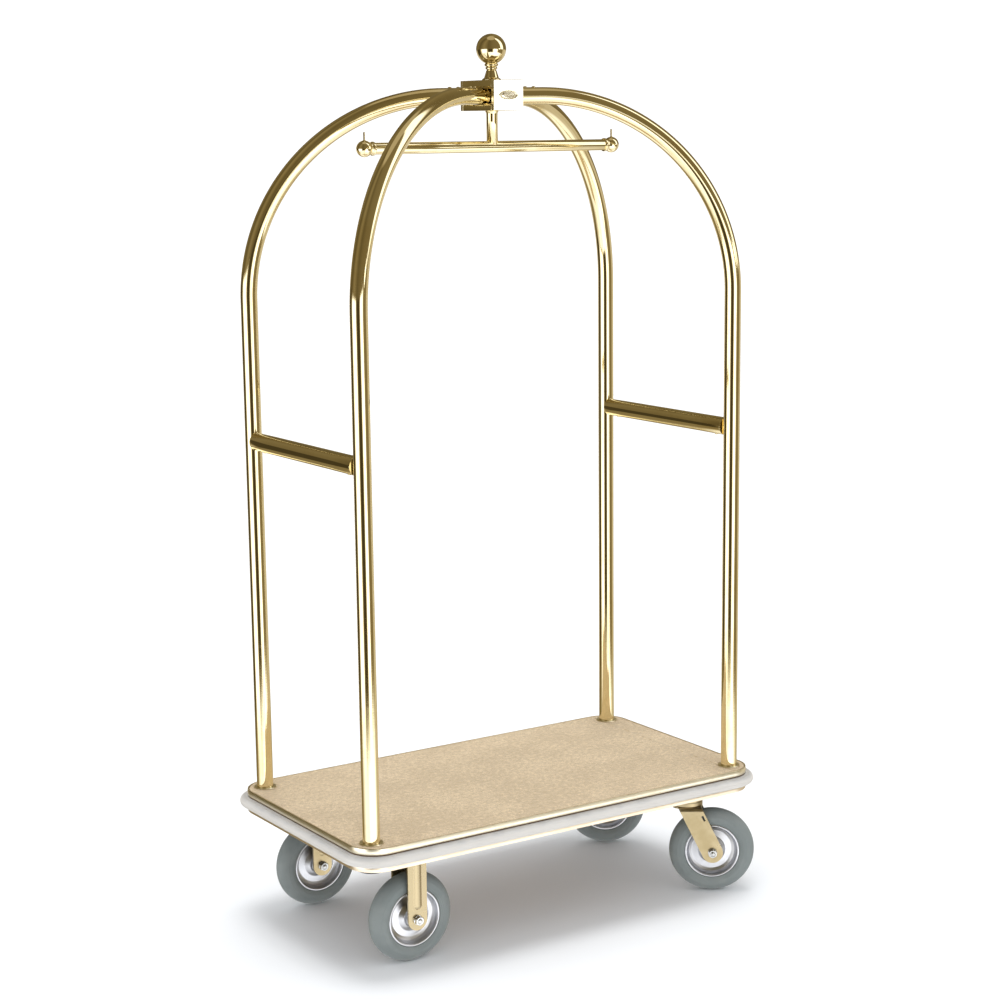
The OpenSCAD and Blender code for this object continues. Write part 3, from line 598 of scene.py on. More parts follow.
metals = [
    # name, colour, colour under marks, roughness, what marks add to it, depth of the polishing lines
    ("polishedBrass", (0.89, 0.785, 0.505), (0.83, 0.71, 0.42), 0.045, 0.05, 0.00002),
    ("trimBrass", (0.98, 0.92, 0.74), (0.96, 0.88, 0.68), 0.30, 0.06, 0.000004),
    ("lowerTrim", (0.93, 0.81, 0.64), (0.90, 0.77, 0.59), 0.34, 0.06, 0.000004),
    ("satinPlate", (0.96, 0.90, 0.72), (0.93, 0.85, 0.64), 0.07, 0.04, 0.000004),
    ("platedFork", (0.44, 0.365, 0.225), (0.385, 0.31, 0.175), 0.27, 0.06, 0.00001),
    ("zincSteel", (0.70, 0.71, 0.72), (0.55, 0.56, 0.56), 0.26, 0.16, 0.00002),
    ("brightRim", (0.62, 0.63, 0.66), (0.54, 0.55, 0.58), 0.33, 0.06, 0.0),
    ("bearingSteel", (0.30, 0.30, 0.31), (0.20, 0.20, 0.20), 0.35, 0.2, 0.00002),
]
polishedBrass, trimBrass, lowerTrim, satinPlate, platedFork, zincSteel, brightRim, bearingSteel = (
    metal(*row) for row in metals)

coatings = [
    # name, two colours, roughness, scale and depth of the grain, dust and its colour (on the bumper these
    # two are painted shade on its top and that shade's colour)
    ("darkSocket", (0.035, 0.03, 0.027), (0.07, 0.055, 0.045), 0.5, 500.0, 0.0002, 0.3),
    ("greyTyre", (0.215, 0.245, 0.242), (0.25, 0.278, 0.273), 0.55, 1100.0, 0.00012),
    # the bumper's amount and grey colour in the last two places are painted shade, darkening the top of the
    # half-round
    ("bumperVinyl", (0.70, 0.675, 0.635), (0.72, 0.695, 0.655), 0.28, 900.0, 0.00006, 0.8,
     (0.40, 0.405, 0.41)),
    ("paintedFrame", (0.05, 0.05, 0.05), (0.08, 0.08, 0.08), 0.6, 300.0, 0.0003, 0.5),
]
darkSocket, greyTyre, bumperVinyl, paintedFrame = (coated(*row) for row in coatings)
carpetPile, boardWood = makeCarpetPile(), makeBoardWood()
print("materials made")


# places taken from the frame

tube = {
    "radius": 0.01905, "wall": 0.0016, "bend": 0.443, "hubEnd": 0.058, "ease": 0.0005, "around": 56,
    "footSteps": 23, "bendSteps": 73, "levelSteps": 11,
}
sides = {"front_left": (-1, -1), "front_right": (1, -1), "back_left": (-1, 1), "back_right": (1, 1)}
rightLow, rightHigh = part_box("upright_back_right")
footX = rightHigh.x - tube["radius"]
footY = rightHigh.y - tube["radius"]
archTop = rightHigh.z - tube["radius"]
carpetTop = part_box("carpet")[1].z


# uprights


def makeUpright(name, sign):
    # a circle carried along a straight foot, a quarter bend and a level run, first on the outside
    # and then back along the inside: point = path + radius * (cos a * normal + sin a * side)
    reach = math.hypot(footX, footY)
    out = np.array([sign[0] * footX / reach, sign[1] * footY / reach, 0])
    up = np.array([0, 0, 1.0])
    bend, low = tube["bend"], rightLow.z
    feet, levels = tube["footSteps"], tube["levelSteps"]
    t = np.linspace(0, math.pi / 2, tube["bendSteps"])
    straight = np.linspace(low, archTop - bend, feet + 1)[:-1]
    level = np.linspace(reach - bend, tube["hubEnd"], levels + 1)[1:]
    across = np.concatenate([np.full(feet, reach), reach - bend + bend * np.cos(t), level])
    height = np.concatenate([straight, archTop - bend + bend * np.sin(t), np.full(levels, archTop)])
    lean = np.concatenate([np.zeros(feet), t, np.full(levels, math.pi / 2)])
    ease, outer, inner = tube["ease"], tube["radius"], tube["radius"] - tube["wall"]
    rows = np.arange(len(across))
    order = np.concatenate([[0], rows, [rows[-1]], [rows[-1]], rows[::-1], [0]])
    radius = np.concatenate([
        [outer - ease], np.full(len(rows), outer), [outer - ease], [inner + ease], np.full(len(rows), inner),
        [inner + ease]])
    across, height, lean = across[order], height[order], lean[order]
    across[len(rows)] += ease  # the outer edge at the hub is eased
    path = across[:, None] * out + height[:, None] * up
    normal = np.cos(lean)[:, None] * out + np.sin(lean)[:, None] * up
    side = np.cross(out, up)
    a = np.linspace(0, 2 * math.pi, tube["around"], endpoint=False)
    ring = np.cos(a)[None, :, None] * normal[:, None] + np.sin(a)[None, :, None] * side
    points = path[:, None] + radius[:, None, None] * ring
    aroundRun = np.append(a, 2 * math.pi) * outer
    alongRun = lengths(path, True)
    piece = gridPiece("tube_" + name, points, closeU=True, closeV=True, u=alongRun, v=aroundRun)
    return finishPiece(closeUp(piece), polishedBrass, "polished_brass", "cart", "upright_" + name)


for corner, sign in sides.items():
    makeUpright(corner, sign)

ringSize = {"inner": 0.0193, "outer": 0.027, "high": 0.0025, "bevel": 0.0015, "segments": 72}


def makeFootRings():
    # a flat bevelled ring round each upright, on the carpet
    inner, outer, high = ringSize["inner"], ringSize["outer"], ringSize["high"]
    outline = filleted([
        (inner, 0, 0.0002), (outer, 0, 0.0003), (outer, high * 0.4, 0.0005),
        (outer - ringSize["bevel"], high, 0.0005), (inner, high, 0.0004)], 3, True)
    spots = [Matrix.Translation((x * footX, y * footY, carpetTop)) for x, y in sides.values()]
    rings = [turned("ring", outline, spot, True, ringSize["segments"]) for spot in spots]
    whole = join("foot_rings", rings)
    return finishPiece(whole, trimBrass, "polished_brass", "cart", "upright_escutcheons")


makeFootRings()
print("uprights and their rings made")


# deck edge and carpet


def deckPath(radius, halfX, halfY, cornerSteps=14, sideSteps=12):
    # the round-cornered outline as points and the way out at each: four arcs joined by straights
    t = np.linspace(0, math.pi / 2, cornerSteps + 1)
    points, ways = [], []
    for k, (sx, sy) in enumerate([(1, 1), (-1, 1), (-1, -1), (1, -1)]):
        angle = t + k * math.pi / 2
        way = np.stack([np.cos(angle), np.sin(angle)], 1)
        arc = np.array([sx * (halfX - radius), sy * (halfY - radius)]) + radius * way
        points.append(arc)
        ways.append(way)
        nextX, nextY = [(-1, 1), (-1, -1), (1, -1), (1, 1)][k]
        start = arc[-1]
        end = np.array([nextX * (halfX - radius), nextY * (halfY - radius)]) + radius * way[-1]
        share = np.linspace(0, 1, sideSteps + 1)[1:-1, None]
        points.append(start + (end - start) * share)
        ways.append(np.repeat(way[-1:], sideSteps - 1, 0))
    return np.concatenate(points), np.concatenate(ways)


deckHalfX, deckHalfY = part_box("trim_top")[1].xy
deckCorner = 0.065


def makeBand(name, section, low, material, slot, node):
    # a closed section (out, up) carried round the deck: point = outline + out * way
    points, ways = deckPath(deckCorner, deckHalfX, deckHalfY)
    flat = points[:, None] + section[None, :, :1] * ways[:, None]
    height = np.broadcast_to(low + section[None, :, 1:], (*flat.shape[:2], 1))
    grid = np.concatenate([flat, height], -1)
    alongRun, acrossRun = lengths(points, True), lengths(section, True)
    piece = gridPiece(name, grid, closeU=True, closeV=True, u=alongRun, v=acrossRun)
    return finishPiece(closeUp(piece), material, slot, "cart", node)


trim = {"thick": 0.003, "round": 0.0009, "crown": 0.0004}


def makeTrim(name, material, node):
    # a flat strip with rounded lips and a slightly crowned face
    low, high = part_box(node)
    tall = high.z - low.z
    thick, soft, crown = trim["thick"], trim["round"], trim["crown"]
    section = filleted([
        (-thick, 0, soft * 0.5), (-crown, 0, soft), (0, tall / 2, tall), (-crown, tall, soft),
        (-thick, tall, soft * 0.5)], 5, True)
    return makeBand(name, section, low.z, material, "polished_brass", node)


makeTrim("upper_strip", trimBrass, "trim_top")
makeTrim("lower_strip", lowerTrim, "trim_bottom")

bumper = {"lip": 0.0006, "lipWide": 0.0022, "slope": 0.0006, "groove": 0.0016, "depth": 0.003, "steps": 29}


def makeBumper():
    # a half-round vinyl section with a thin lip along its top and bottom edges
    low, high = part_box("bumper")
    tall, out = high.z - low.z, high.x - deckHalfX
    r = tall / 2
    t = np.linspace(-math.pi / 2, math.pi / 2, bumper["steps"])
    bulge = np.stack([out - r + r * np.cos(t), r + r * np.sin(t)], 1)
    lip, wide = bumper["lip"], bumper["lipWide"]
    lower = [(-bumper["depth"], 0), (wide, 0), (wide + bumper["slope"], lip), (wide + bumper["groove"], lip)]
    upper = [(x, tall - y) for x, y in lower[::-1]]
    section = np.concatenate([np.array(lower), bulge[2:-2], np.array(upper)])
    return makeBand("bumper_strip", section, low.z, bumperVinyl, "bumper_rubber", "bumper")


makeBumper()

carpet = {"corner": 0.061, "cell": 0.0034, "roll": 0.003, "pile": 0.00045, "seed": 11}


def softNoise(shape, seed, passes):
    # random values evened out with their neighbours, from -1 to 1
    values = np.random.default_rng(seed).uniform(-1, 1, shape)
    for _ in range(passes):
        values = (values + np.roll(values, 1, 0) + np.roll(values, -1, 0)
                  + np.roll(values, 1, 1) + np.roll(values, -1, 1)) / 5
    return values / np.abs(values).max()


def makeCarpet():
    # a loop over the top, down one edge, along the underside and up the other, carried along X. Its
    # half width at x is the round-cornered outline's, and its top falls away near the outline as a
    # quarter circle and is roughened by the pile.
    low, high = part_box("carpet")
    halfX, halfY, corner = high.x, high.y, carpet["corner"]
    t = np.linspace(0, math.pi / 2, 25)
    end = halfX - corner + corner * np.sin(t)
    x = np.concatenate([-end[::-1], np.arange(-halfX + corner, halfX - corner, carpet["cell"])[1:], end])
    past = np.maximum(np.abs(x) - (halfX - corner), 0)
    width = halfY - corner + np.sqrt(np.maximum(corner**2 - past**2, 0))
    rim = carpet["roll"] * (1 - np.cos(np.linspace(0, math.pi / 2, 6)))[1:-1] / halfY
    across = np.concatenate([[0], rim, np.linspace(carpet["roll"] / halfY, 2 - carpet["roll"] / halfY, 165),
                             2 - rim[::-1], [2]]) - 1
    y = width[:, None] * across
    gap = np.abs(np.stack([np.broadcast_to(x[:, None], y.shape), y], -1)) - [halfX - corner, halfY - corner]
    inside = corner - np.linalg.norm(np.maximum(gap, 0), axis=-1) - np.minimum(gap.max(-1), 0)
    share = np.clip(inside / carpet["roll"], 0, 1)
    fall = carpet["roll"] * (1 - np.sqrt(1 - (1 - share) ** 2))
    pile = softNoise(y.shape, carpet["seed"], 1) + 0.8 * softNoise(y.shape, carpet["seed"] + 1, 6)
    z = high.z - fall - carpet["pile"] * (0.9 + pile) * share
    top = np.stack([np.broadcast_to(x[:, None], y.shape), y, z], -1)
    under = top[:, ::-1][:, [0, -1]].copy()
    under[..., 2] = low.z
    piece = gridPiece("carpet_sheet", np.concatenate([top, under], 1), closeV=True, capU=True)
    finishPiece(closeUp(piece), carpetPile, "carpet_pile", "cart", "carpet")
    return piece


makeCarpet()
print("deck edge and carpet made")


# hub, finial and garment bar


def roundBox(name, low, high, radius, arcSteps=4):
    # a ball cut into eight, moved out to the box's corners: corner * sign + radius * direction
    low, high = np.array(low), np.array(high)
    half = (high - low) / 2 - radius
    quarter = np.linspace(0, math.pi / 2, arcSteps + 1)
    turn = np.concatenate([quarter + k * math.pi / 2 for k in range(4)])
    rise = np.concatenate([np.linspace(-math.pi / 2, 0, arcSteps + 1), quarter])
    signX = np.repeat([1, -1, -1, 1], arcSteps + 1)
    signY = np.repeat([1, 1, -1, -1], arcSteps + 1)
    signZ = np.repeat([-1, 1], arcSteps + 1)
    e, a = np.meshgrid(rise, turn, indexing="ij")
    way = np.stack([np.cos(e) * np.cos(a), np.cos(e) * np.sin(a), np.sin(e)], -1)
    z, x = np.meshgrid(signZ, signX, indexing="ij")
    y = np.broadcast_to(signY, x.shape)
    points = (low + high) / 2 + np.stack([x, y, z], -1) * half + radius * way
    piece = closeUp(gridPiece(name, points, closeV=True, capU=True))
    flattenNormals(piece)
    return piece


def flattenNormals(piece):
    # large flat faces keep their own normal and the rounds between them stay smooth
    weigh = piece.modifiers.new("even", "WEIGHTED_NORMAL")
    weigh.weight = 100
    weigh.keep_sharp = True


hub = {"round": 0.0016}
hubPlates = {
    "hub_top_plate": polishedBrass, "hub_bottom_plate": polishedBrass, "hub_front_plate": satinPlate,
    "hub_back_plate": satinPlate,
}
for node, finish in hubPlates.items():
    plate = roundBox(node + "_cast", *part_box(node), hub["round"])
    finishPiece(plate, finish, "polished_brass", "cart", node)

badge = {
    "around": 96,
    # share of the oval, height from the plate, rounding
    "outline": [
        (0, 0.0030, 0), (0.55, 0.0024, 0.1), (0.70, 0.0008, 0.02), (0.78, 0.0008, 0.02),
        (0.86, 0.0020, 0.03), (0.94, 0.0020, 0.03), (1.0, 0.0008, 0.02), (1.0, -0.0004, 0),
    ],
}


def makeBadges():
    # plain oval: a raised rim, a sunk channel and a domed middle, as heights over shares of the oval
    low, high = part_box("hub_badges")
    halfX, halfZ = high.x, (high.z - low.z) / 2
    middle = (high.z + low.z) / 2
    front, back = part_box("hub_front_plate")[0].y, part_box("hub_back_plate")[1].y
    outline = filleted(badge["outline"], 4)
    a = np.linspace(0, 2 * math.pi, badge["around"], endpoint=False)
    made = []
    for way, wall in ((-1, front), (1, back)):
        x = halfX * outline[None, :, 0] * np.cos(a)[:, None]
        z = middle + halfZ * outline[None, :, 0] * np.sin(a)[:, None]
        y = wall + way * np.broadcast_to(outline[None, :, 1], x.shape)
        made.append(closeUp(gridPiece("badge", np.stack([x, y, z], -1), closeU=True)))
    return finishPiece(join("badges", made), trimBrass, "polished_brass", "cart", "hub_badges")


makeBadges()

screw = {
    "head": 0.00425, "rise": 0.0024, "socket": 0.0015, "deep": 0.0014, "under": 0.002, "segments": 28,
    "alongArch": (0.075, 0.094),  # from the hub's middle
    "alongRail": 0.055,  # from an upright's middle
}


def makeScrews(name, places, node):
    # a domed head with a round recess, turned about the screw's axis
    head, rise, socket = screw["head"], screw["rise"], screw["socket"]
    dome = np.linspace(0.36, 1, 8)
    top = np.stack([head * dome, rise * np.sqrt(np.maximum(1 - (dome * 0.98) ** 2, 0.04))], 1)
    recess = [[0, rise - screw["deep"]], [socket, rise - screw["deep"]]]
    outline = np.concatenate([recess, top, [[head, -screw["under"]], [0, -screw["under"]]]])
    made = [turned("screw", outline, axisPlace(at, axis), False, screw["segments"]) for at, axis in places]
    return finishPiece(join(name, made), polishedBrass, "polished_brass", "cart", node)


archScrews = []
for x, y in sides.values():
    reach = math.hypot(footX, footY)
    for along in screw["alongArch"]:
        at = (x * footX / reach * along, y * footY / reach * along, archTop + tube["radius"])
        archScrews.append((at, (0, 0, 1)))
makeScrews("tube_screws", archScrews, "arch_screws")

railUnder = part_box("side_rail_left")[0].z
railScrewY = footY - screw["alongRail"]
railScrews = [((x * footX, y * railScrewY, railUnder), (0, 0, -1)) for x, y in sides.values()]
makeScrews("rail_fixings", railScrews, "rail_screws")


finial = {
    "bore": 0.0055, "footHigh": 0.0028, "shoulder": (0.0045, 0.0055), "segments": 80, "ballSegments": 112,
    # waist and beads: radius, depth below the top, rounding
    "beads": [
        (0.0118, 0.0175, 0.006), (0.0098, 0.0150, 0.0008), (0.0130, 0.0138, 0.0016),
        (0.0136, 0.0105, 0.0024), (0.0108, 0.0082, 0.0006), (0.0150, 0.0070, 0.0018),
        (0.0156, 0.0035, 0.0026), (0.0128, 0.0004, 0.0012), (0.0060, 0.0004, 0),
    ],
}


def makeFinial():
    # base: a flared foot, a waist and two beads; ball: a full circle's half, from pole to pole
    low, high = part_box("finial_base")
    foot = high.x
    tall = high.z - low.z
    inward, above = finial["shoulder"]
    outline = filleted([
        (finial["bore"], 0, 0), (foot, 0, 0.0006), (foot, finial["footHigh"], 0.0012),
        (foot - inward, above, 0.002), *((r, tall - down, soft) for r, down, soft in finial["beads"])], 6)
    at = Matrix.Translation((0, 0, low.z))
    base = turned("finial_turning", outline, at, False, finial["segments"])
    finishPiece(base, polishedBrass, "polished_brass", "cart", "finial_base")
    low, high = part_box("finial_ball")
    radius = high.x
    t = np.linspace(-math.pi / 2, math.pi / 2, 65)
    half = np.stack([radius * np.cos(t), radius * np.sin(t)], 1)
    half[[0, -1], 0] = 0
    at = Matrix.Translation((0, 0, high.z - radius))
    ball = turned("finial_sphere", half, at, False, finial["ballSegments"])
    return finishPiece(ball, polishedBrass, "polished_brass", "cart", "finial_ball")


makeFinial()

barSet = {
    "radius": 0.0127, "wall": 0.002, "ease": 0.0004, "segments": 72,
    "collar": 0.0152, "collarWide": 0.005, "collarFrom": 1.28,  # the last in ball radii
    "neck": 0.0135, "ballFrom": -0.80,  # angle where the ball leaves the neck
    "pin": 0.002, "pinCollar": 0.0034, "pinFrom": 0.012, "pinSegments": 28,
    "flare": 0.0022, "stemFrom": 0.004, "stemSegments": 64,
}


def makeGarmentBar():
    low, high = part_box("garment_bar")
    level = (low.z + high.z) / 2
    outer, inner = barSet["radius"], barSet["radius"] - barSet["wall"]
    wide = high.x - low.x
    ease, segments = barSet["ease"], barSet["segments"]
    outline = filleted([
        (outer, 0, ease), (outer, wide / 3, 0), (outer, 2 * wide / 3, 0), (outer, wide, ease),
        (inner, wide, ease), (inner, 0, ease)], 3, True)
    bar = turned("hanging_bar", outline, axisPlace((low.x, 0, level), (1, 0, 0)), True, segments)
    finishPiece(bar, polishedBrass, "polished_brass", "cart", "garment_bar")

    # end balls: collar, neck and ball as one turning, with a small boss on the far side
    ballLow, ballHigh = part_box("bar_end_balls")
    ballR = (ballHigh.z - ballLow.z) / 2
    centre = ballHigh.x - ballR
    t = np.linspace(barSet["ballFrom"], math.pi / 2, 44)
    ball = np.stack([ballR * np.cos(t), ballR * np.sin(t)], 1)
    ball[-1, 0] = 0
    start = -ballR * barSet["collarFrom"]
    stop = start + barSet["collarWide"]
    collar = filleted([
        (outer - 0.0005, start, 0), (barSet["collar"], start, 0.0012), (barSet["collar"], stop, 0.0016),
        (barSet["neck"], stop + 0.001, 0.0008), (ball[0, 0], ball[0, 1], 0)], 4)
    outline = np.concatenate([collar[:-1], ball])
    ends = [axisPlace((way * centre, 0, level), (way, 0, 0)) for way in (-1, 1)]
    made = [turned("ball", outline, end, False, segments) for end in ends]
    finishPiece(join("bar_balls", made), polishedBrass, "polished_brass", "cart", "bar_end_balls")

    # stop pins: a short collar on the ball and a round-nosed pin
    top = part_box("bar_stop_pins")[1].z
    r, foot, wide = barSet["pin"], level + barSet["pinFrom"], barSet["pinCollar"]
    nose = np.linspace(0, math.pi / 2, 8)
    tip = np.stack([r * np.cos(nose), top - r + r * np.sin(nose)], 1)
    tip[-1, 0] = 0
    shank = filleted([
        (0, foot, 0), (wide, foot, 0), (wide, level + ballR + 0.0002, 0.0008),
        (r, level + ballR + 0.0010, 0.0006), (r, top - r, 0)], 4)
    outline = np.concatenate([shank, tip[1:]])
    ends = [Matrix.Translation((way * centre, 0, 0)) for way in (-1, 1)]
    made = [turned("pin", outline, end, False, barSet["pinSegments"]) for end in ends]
    finishPiece(join("stop_pins", made), polishedBrass, "polished_brass", "cart", "bar_stop_pins")

    # drop tube, with a soft flare where it meets the hub
    low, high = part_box("drop_tube")
    r = high.x
    tall = high.z - level
    foot, wide = barSet["stemFrom"], r + barSet["flare"]
    outline = filleted([
        (0, foot, 0), (r, foot, 0), (r, tall - 0.006, 0.004), (wide, tall - 0.0016, 0.001), (wide, tall, 0),
        (0, tall, 0)], 5)
    at = Matrix.Translation((0, 0, level))
    drop = turned("drop_stem", outline, at, False, barSet["stemSegments"])
    return finishPiece(drop, polishedBrass, "polished_brass", "cart", "drop_tube")


makeGarmentBar()
print("hub, finial and garment bar made")


# end rails


def makeRail(name, node):
    # an open tube between its two end discs, with eased ends
    low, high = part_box(node)
    outer = (high.x - low.x) / 2
    inner = outer - tube["wall"]
    wide = high.y - low.y
    stations = [(outer, wide * k / 6, 0) for k in range(1, 6)]
    outline = filleted([
        (outer, 0, 0.0005), *stations, (outer, wide, 0.0005), (inner, wide, 0.0004), (inner, 0, 0.0004)],
        3, True)
    at = axisPlace(((low.x + high.x) / 2, low.y, (low.z + high.z) / 2), (0, 1, 0))
    rail = turned(name, outline, at, True, 80)
    return finishPiece(rail, polishedBrass, "polished_brass", "cart", node)


makeRail("rail_left_tube", "side_rail_left")
makeRail("rail_right_tube", "side_rail_right")
print("rails made")


# wheels

wheel = {
    "radius": 0.1016, "crown": 0.025, "seat": 0.0616, "barrelHalf": 0.0178, "tyreSegments": 144,
    # the tyre's parting line and mould rings: angle from the middle, height, width
    "rings": [
        (0, -0.00022, 0.012), (1.28, 0.00045, 0.035), (1.62, 0.00035, 0.03), (1.9, -0.0003, 0.03),
    ],
    "grooveAt": 0.72, "grooveDeep": 0.0002, "grooveWide": 0.02,
    "rimRadius": 0.0655, "roll": 0.003, "rollOut": 0.0195, "bearing": 0.0176, "boss": 0.0215, "face": 0.0238,
    "rimSegments": 120,
    # the pressed web from the boss to the barrel: radius, distance from the middle, rounding
    "web": [
        (0.0218, 0.0142, 0.003), (0.0262, 0.0110, 0.002), (0.0330, 0.0058, 0.006), (0.0475, 0.0036, 0.006),
        (0.0545, 0.0066, 0.003), (0.0586, 0.0120, 0.004), (0.0588, 0.0160, 0),
    ],
    "barrel": 0.0614,
}


def tyreOutline():
    # the crown is a circle about a point inside the tyre, with a thin parting line round its middle, two
    # raised mould rings and two fine grooves: radius + height * exp(-((t - place) / width)^2)
    centre, r = wheel["radius"] - wheel["crown"], wheel["crown"]
    limit = math.acos((wheel["rimRadius"] + 0.0002 - centre) / r)
    t = np.linspace(-limit, limit, 121)
    size = np.full_like(t, r)
    for spot, high, wide in wheel["rings"]:
        for way in (-1, 1):
            size += (high if spot else high / 2) * np.exp(-(((t - way * spot) / wide) ** 2))
    fromGroove = (np.abs(t) - wheel["grooveAt"]) / wheel["grooveWide"]
    size -= wheel["grooveDeep"] * (np.abs(t) < 0.9) * np.exp(-(fromGroove**2))
    crown = np.stack([centre + size * np.cos(t), size * np.sin(t)], 1)
    foot, half, bead = wheel["seat"], wheel["barrelHalf"], wheel["rimRadius"] - 0.0002
    inside = filleted([
        (crown[-1, 0], crown[-1, 1], 0), (bead, half + 0.0005, 0.001), (foot, half - 0.0008, 0.0008),
        (foot, 0.0008 - half, 0.0008), (bead, -half - 0.0005, 0.001), (crown[0, 0], crown[0, 1], 0)], 3)
    return np.concatenate([crown, inside[1:-1]])


def rimOutline():
    # half a section: boss face, bore side, dished web, barrel and a rolled edge, then its mirror image
    roll, out, bearing, barrel = (wheel[k] for k in ("roll", "rollOut", "bearing", "barrel"))
    centre = wheel["rimRadius"] - roll
    half = filleted([
        (bearing, 0.0125, 0), (bearing, wheel["face"], 0.0004), (wheel["boss"], wheel["face"], 0.0016),
        *wheel["web"]], 6)
    t = np.linspace(math.radians(205), math.radians(-80), 26)
    edge = np.stack([centre + roll * np.cos(t), out + roll * np.sin(t)], 1)
    under = filleted([(edge[-1, 0], edge[-1, 1], 0), (barrel, 0.0170, 0.0005), (barrel, 0.0001, 0)], 3)
    top = np.concatenate([half, edge, under[1:]])
    return np.concatenate([top, (top * [1, -1])[::-1]])


axle = {
    "across": 0.019, "flange": 0.011, "flangeThick": 0.002, "flangeBore": 0.0045, "out": 0.036,
    "nutTall": 0.008, "nutStub": 0.002, "headTall": 0.0065, "headStub": 0.0002, "shank": 0.005,
    # the cone at a head's top: depth below the top, share of the width across flats
    "cone": [(0.0018, 0.577), (0.0012, 0.55), (0.0006, 0.52), (0.0001, 0.48), (0, 0.42)],
}


def nutOutline(across, tall):
    # a six-sided head: at angle a its side is across / 2 / cos(a from the nearest flat's middle), cut
    # by a cone at the top, so each row is the smaller of the two
    a = np.linspace(0, 2 * math.pi, 72, endpoint=False)
    side = across / 2 / np.cos((a + math.pi / 6) % (math.pi / 3) - math.pi / 6)
    down, share = np.array(axle["cone"]).T
    heights = np.concatenate([[0, 0.0004], tall - down])
    cone = np.concatenate([[across, across], across * share])
    return a, np.minimum(side[:, None], cone), heights


def makeNut(name, across, tall, place, stub):
    # the head with a flat top and a bolt end that stands a little above it
    a, radius, heights = nutOutline(across, tall)
    endR = axle["shank"]
    extra = np.array([endR + 0.0004, endR, endR, endR - 0.0008, 0])
    radius = np.concatenate([radius, np.broadcast_to(extra, (len(a), len(extra)))], 1)
    top = tall + stub
    heights = np.concatenate([heights, [tall, tall - 0.0004, top - 0.0008, top, top]])
    local = np.stack([np.cos(a)[:, None] * radius, np.sin(a)[:, None] * radius,
                      np.ones(len(a))[:, None] * heights], -1)
    turn = np.array(place)
    return closeUp(gridPiece(name, local @ turn[:3, :3].T + turn[:3, 3], closeU=True))


def jointOf(body):
    return next(joint for joint in frame["joints"] if joint["child"] == body)


def makeWheel(corner):
    body = "wheel_" + corner
    joint = jointOf(body)
    place = axisPlace(joint["pos_m"], joint["axis"])
    tyre = turned("tyre_" + corner + "_rubber", tyreOutline(), place, True, wheel["tyreSegments"])
    finishPiece(tyre, greyTyre, "grey_tyre", body, "tyre_" + corner)
    rim = turned("rim_" + corner + "_pressed", rimOutline(), place, True, wheel["rimSegments"])
    finishPiece(rim, brightRim, "bright_rim", body, "rim_" + corner)


for corner in sides:
    makeWheel(corner)


def axlePieces(body):
    # a flanged head on one side, a flanged nut on the other and the shank between them
    joint = jointOf(body)
    out, wide, bore, across = (axle[k] for k in ("out", "flange", "flangeBore", "across"))
    face = out + axle["flangeThick"]
    flange = filleted([
        (bore, out, 0), (wide, out, 0.0003), (wide, out + 0.0012, 0.0006), (across / 2, face, 0),
        (bore, face, 0)], 3, True)
    made = []
    for way, end in ((1, "nut"), (-1, "head")):
        place = axisPlace(joint["pos_m"], Vector(joint["axis"]) * way)
        made.append(turned("flange", flange, place, True, 48))
        seat = place @ Matrix.Translation((0, 0, face - 0.0001))
        made.append(makeNut("nut", across, axle[end + "Tall"], seat, axle[end + "Stub"]))
    r = axle["shank"]
    shank = np.array([[0, -out], [r, -out], [r, out], [0, out]])
    made.append(turned("shank", shank, axisPlace(joint["pos_m"], joint["axis"]), False, 32))
    return made


rigid = axlePieces("wheel_front_left") + axlePieces("wheel_back_left")
finishPiece(join("rigid_axle_bolts", rigid), zincSteel, "zinc_steel", "cart", "rigid_axles")
for end in ("front", "back"):
    bolt = join("swivel_axle_bolt_" + end, axlePieces("wheel_" + end + "_right"))
    finishPiece(bolt, zincSteel, "zinc_steel", "swivel_" + end, "swivel_axle_" + end)
print("wheels and axles made")


# pressed and cast pieces: a merged copy of each, with eased edges


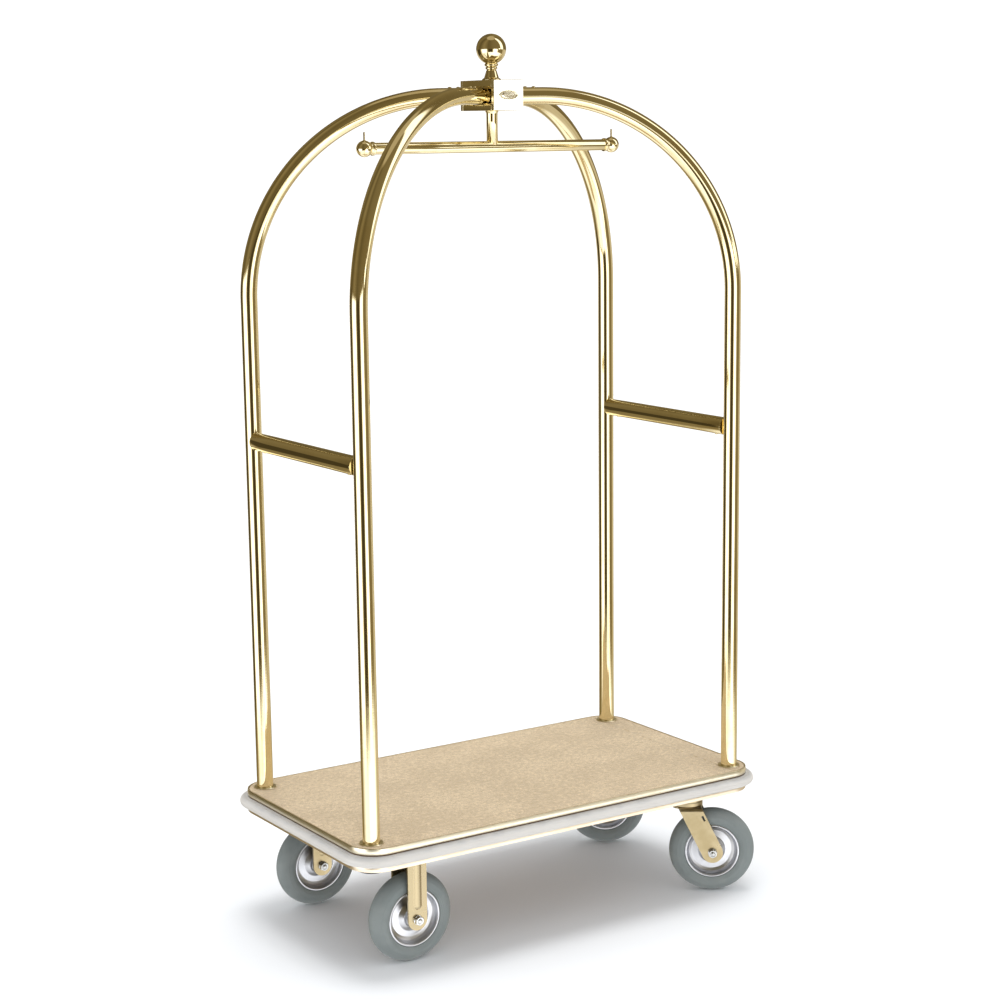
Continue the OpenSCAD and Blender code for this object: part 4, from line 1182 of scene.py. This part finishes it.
def easedCopy(node, width, material, slot, body):
    source = frame["nodes"][node]
    work = bmesh.new()
    work.from_mesh(source.data)
    bmesh.ops.remove_doubles(work, verts=work.verts, dist=1e-6)
    bmesh.ops.dissolve_limit(work, angle_limit=math.radians(0.4), verts=work.verts, edges=work.edges)
    mesh = bpy.data.meshes.new(node + "_eased")
    work.to_mesh(mesh)
    work.free()
    mesh.polygons.foreach_set("use_smooth", np.ones(len(mesh.polygons), bool))
    piece = bpy.data.objects.new(node + "_eased", mesh)
    bpy.context.scene.collection.objects.link(piece)
    edge = piece.modifiers.new("edge", "BEVEL")
    edge.width = width
    edge.segments = 2
    edge.limit_method = "ANGLE"
    edge.angle_limit = math.radians(32)
    flattenNormals(piece)
    return finishPiece(piece, material, slot, body, node)


eased = [
    # node, how far its edges are eased, material, slot, body
    ("rigid_fork_front", 0.0008, platedFork, "plated_fork", "cart"),
    ("rigid_fork_back", 0.0008, platedFork, "plated_fork", "cart"),
    ("swivel_fork_front", 0.0008, platedFork, "plated_fork", "swivel_front"),
    ("swivel_fork_back", 0.0008, platedFork, "plated_fork", "swivel_back"),
    ("swivel_plate_front", 0.0008, platedFork, "plated_fork", "cart"),
    ("swivel_plate_back", 0.0008, platedFork, "plated_fork", "cart"),
    ("hub_spider", 0.0005, polishedBrass, "polished_brass", "cart"),
    ("rail_stubs", 0.0005, polishedBrass, "polished_brass", "cart"),
    ("upright_sockets", 0.0006, darkSocket, "dark_socket", "cart"),
    ("deck_frame", 0.0010, paintedFrame, "painted_frame", "cart"),
]
for row in eased:
    easedCopy(*row)

plain = {
    "deck_board": boardWood, "upright_plugs": zincSteel, "socket_bolts": zincSteel, "hub_stud": zincSteel,
    "plate_bolts": zincSteel, "kingpins": zincSteel, "swivel_balls_front": bearingSteel,
    "swivel_balls_back": bearingSteel, "rigid_sleeves": zincSteel, "swivel_sleeve_front": zincSteel,
    "swivel_sleeve_back": zincSteel,
}
for corner in sides:
    plain["bearings_" + corner] = bearingSteel
for node, material in plain.items():
    for slot in frame["nodes"][node].material_slots:
        slot.material = material
print("frame pieces finished")
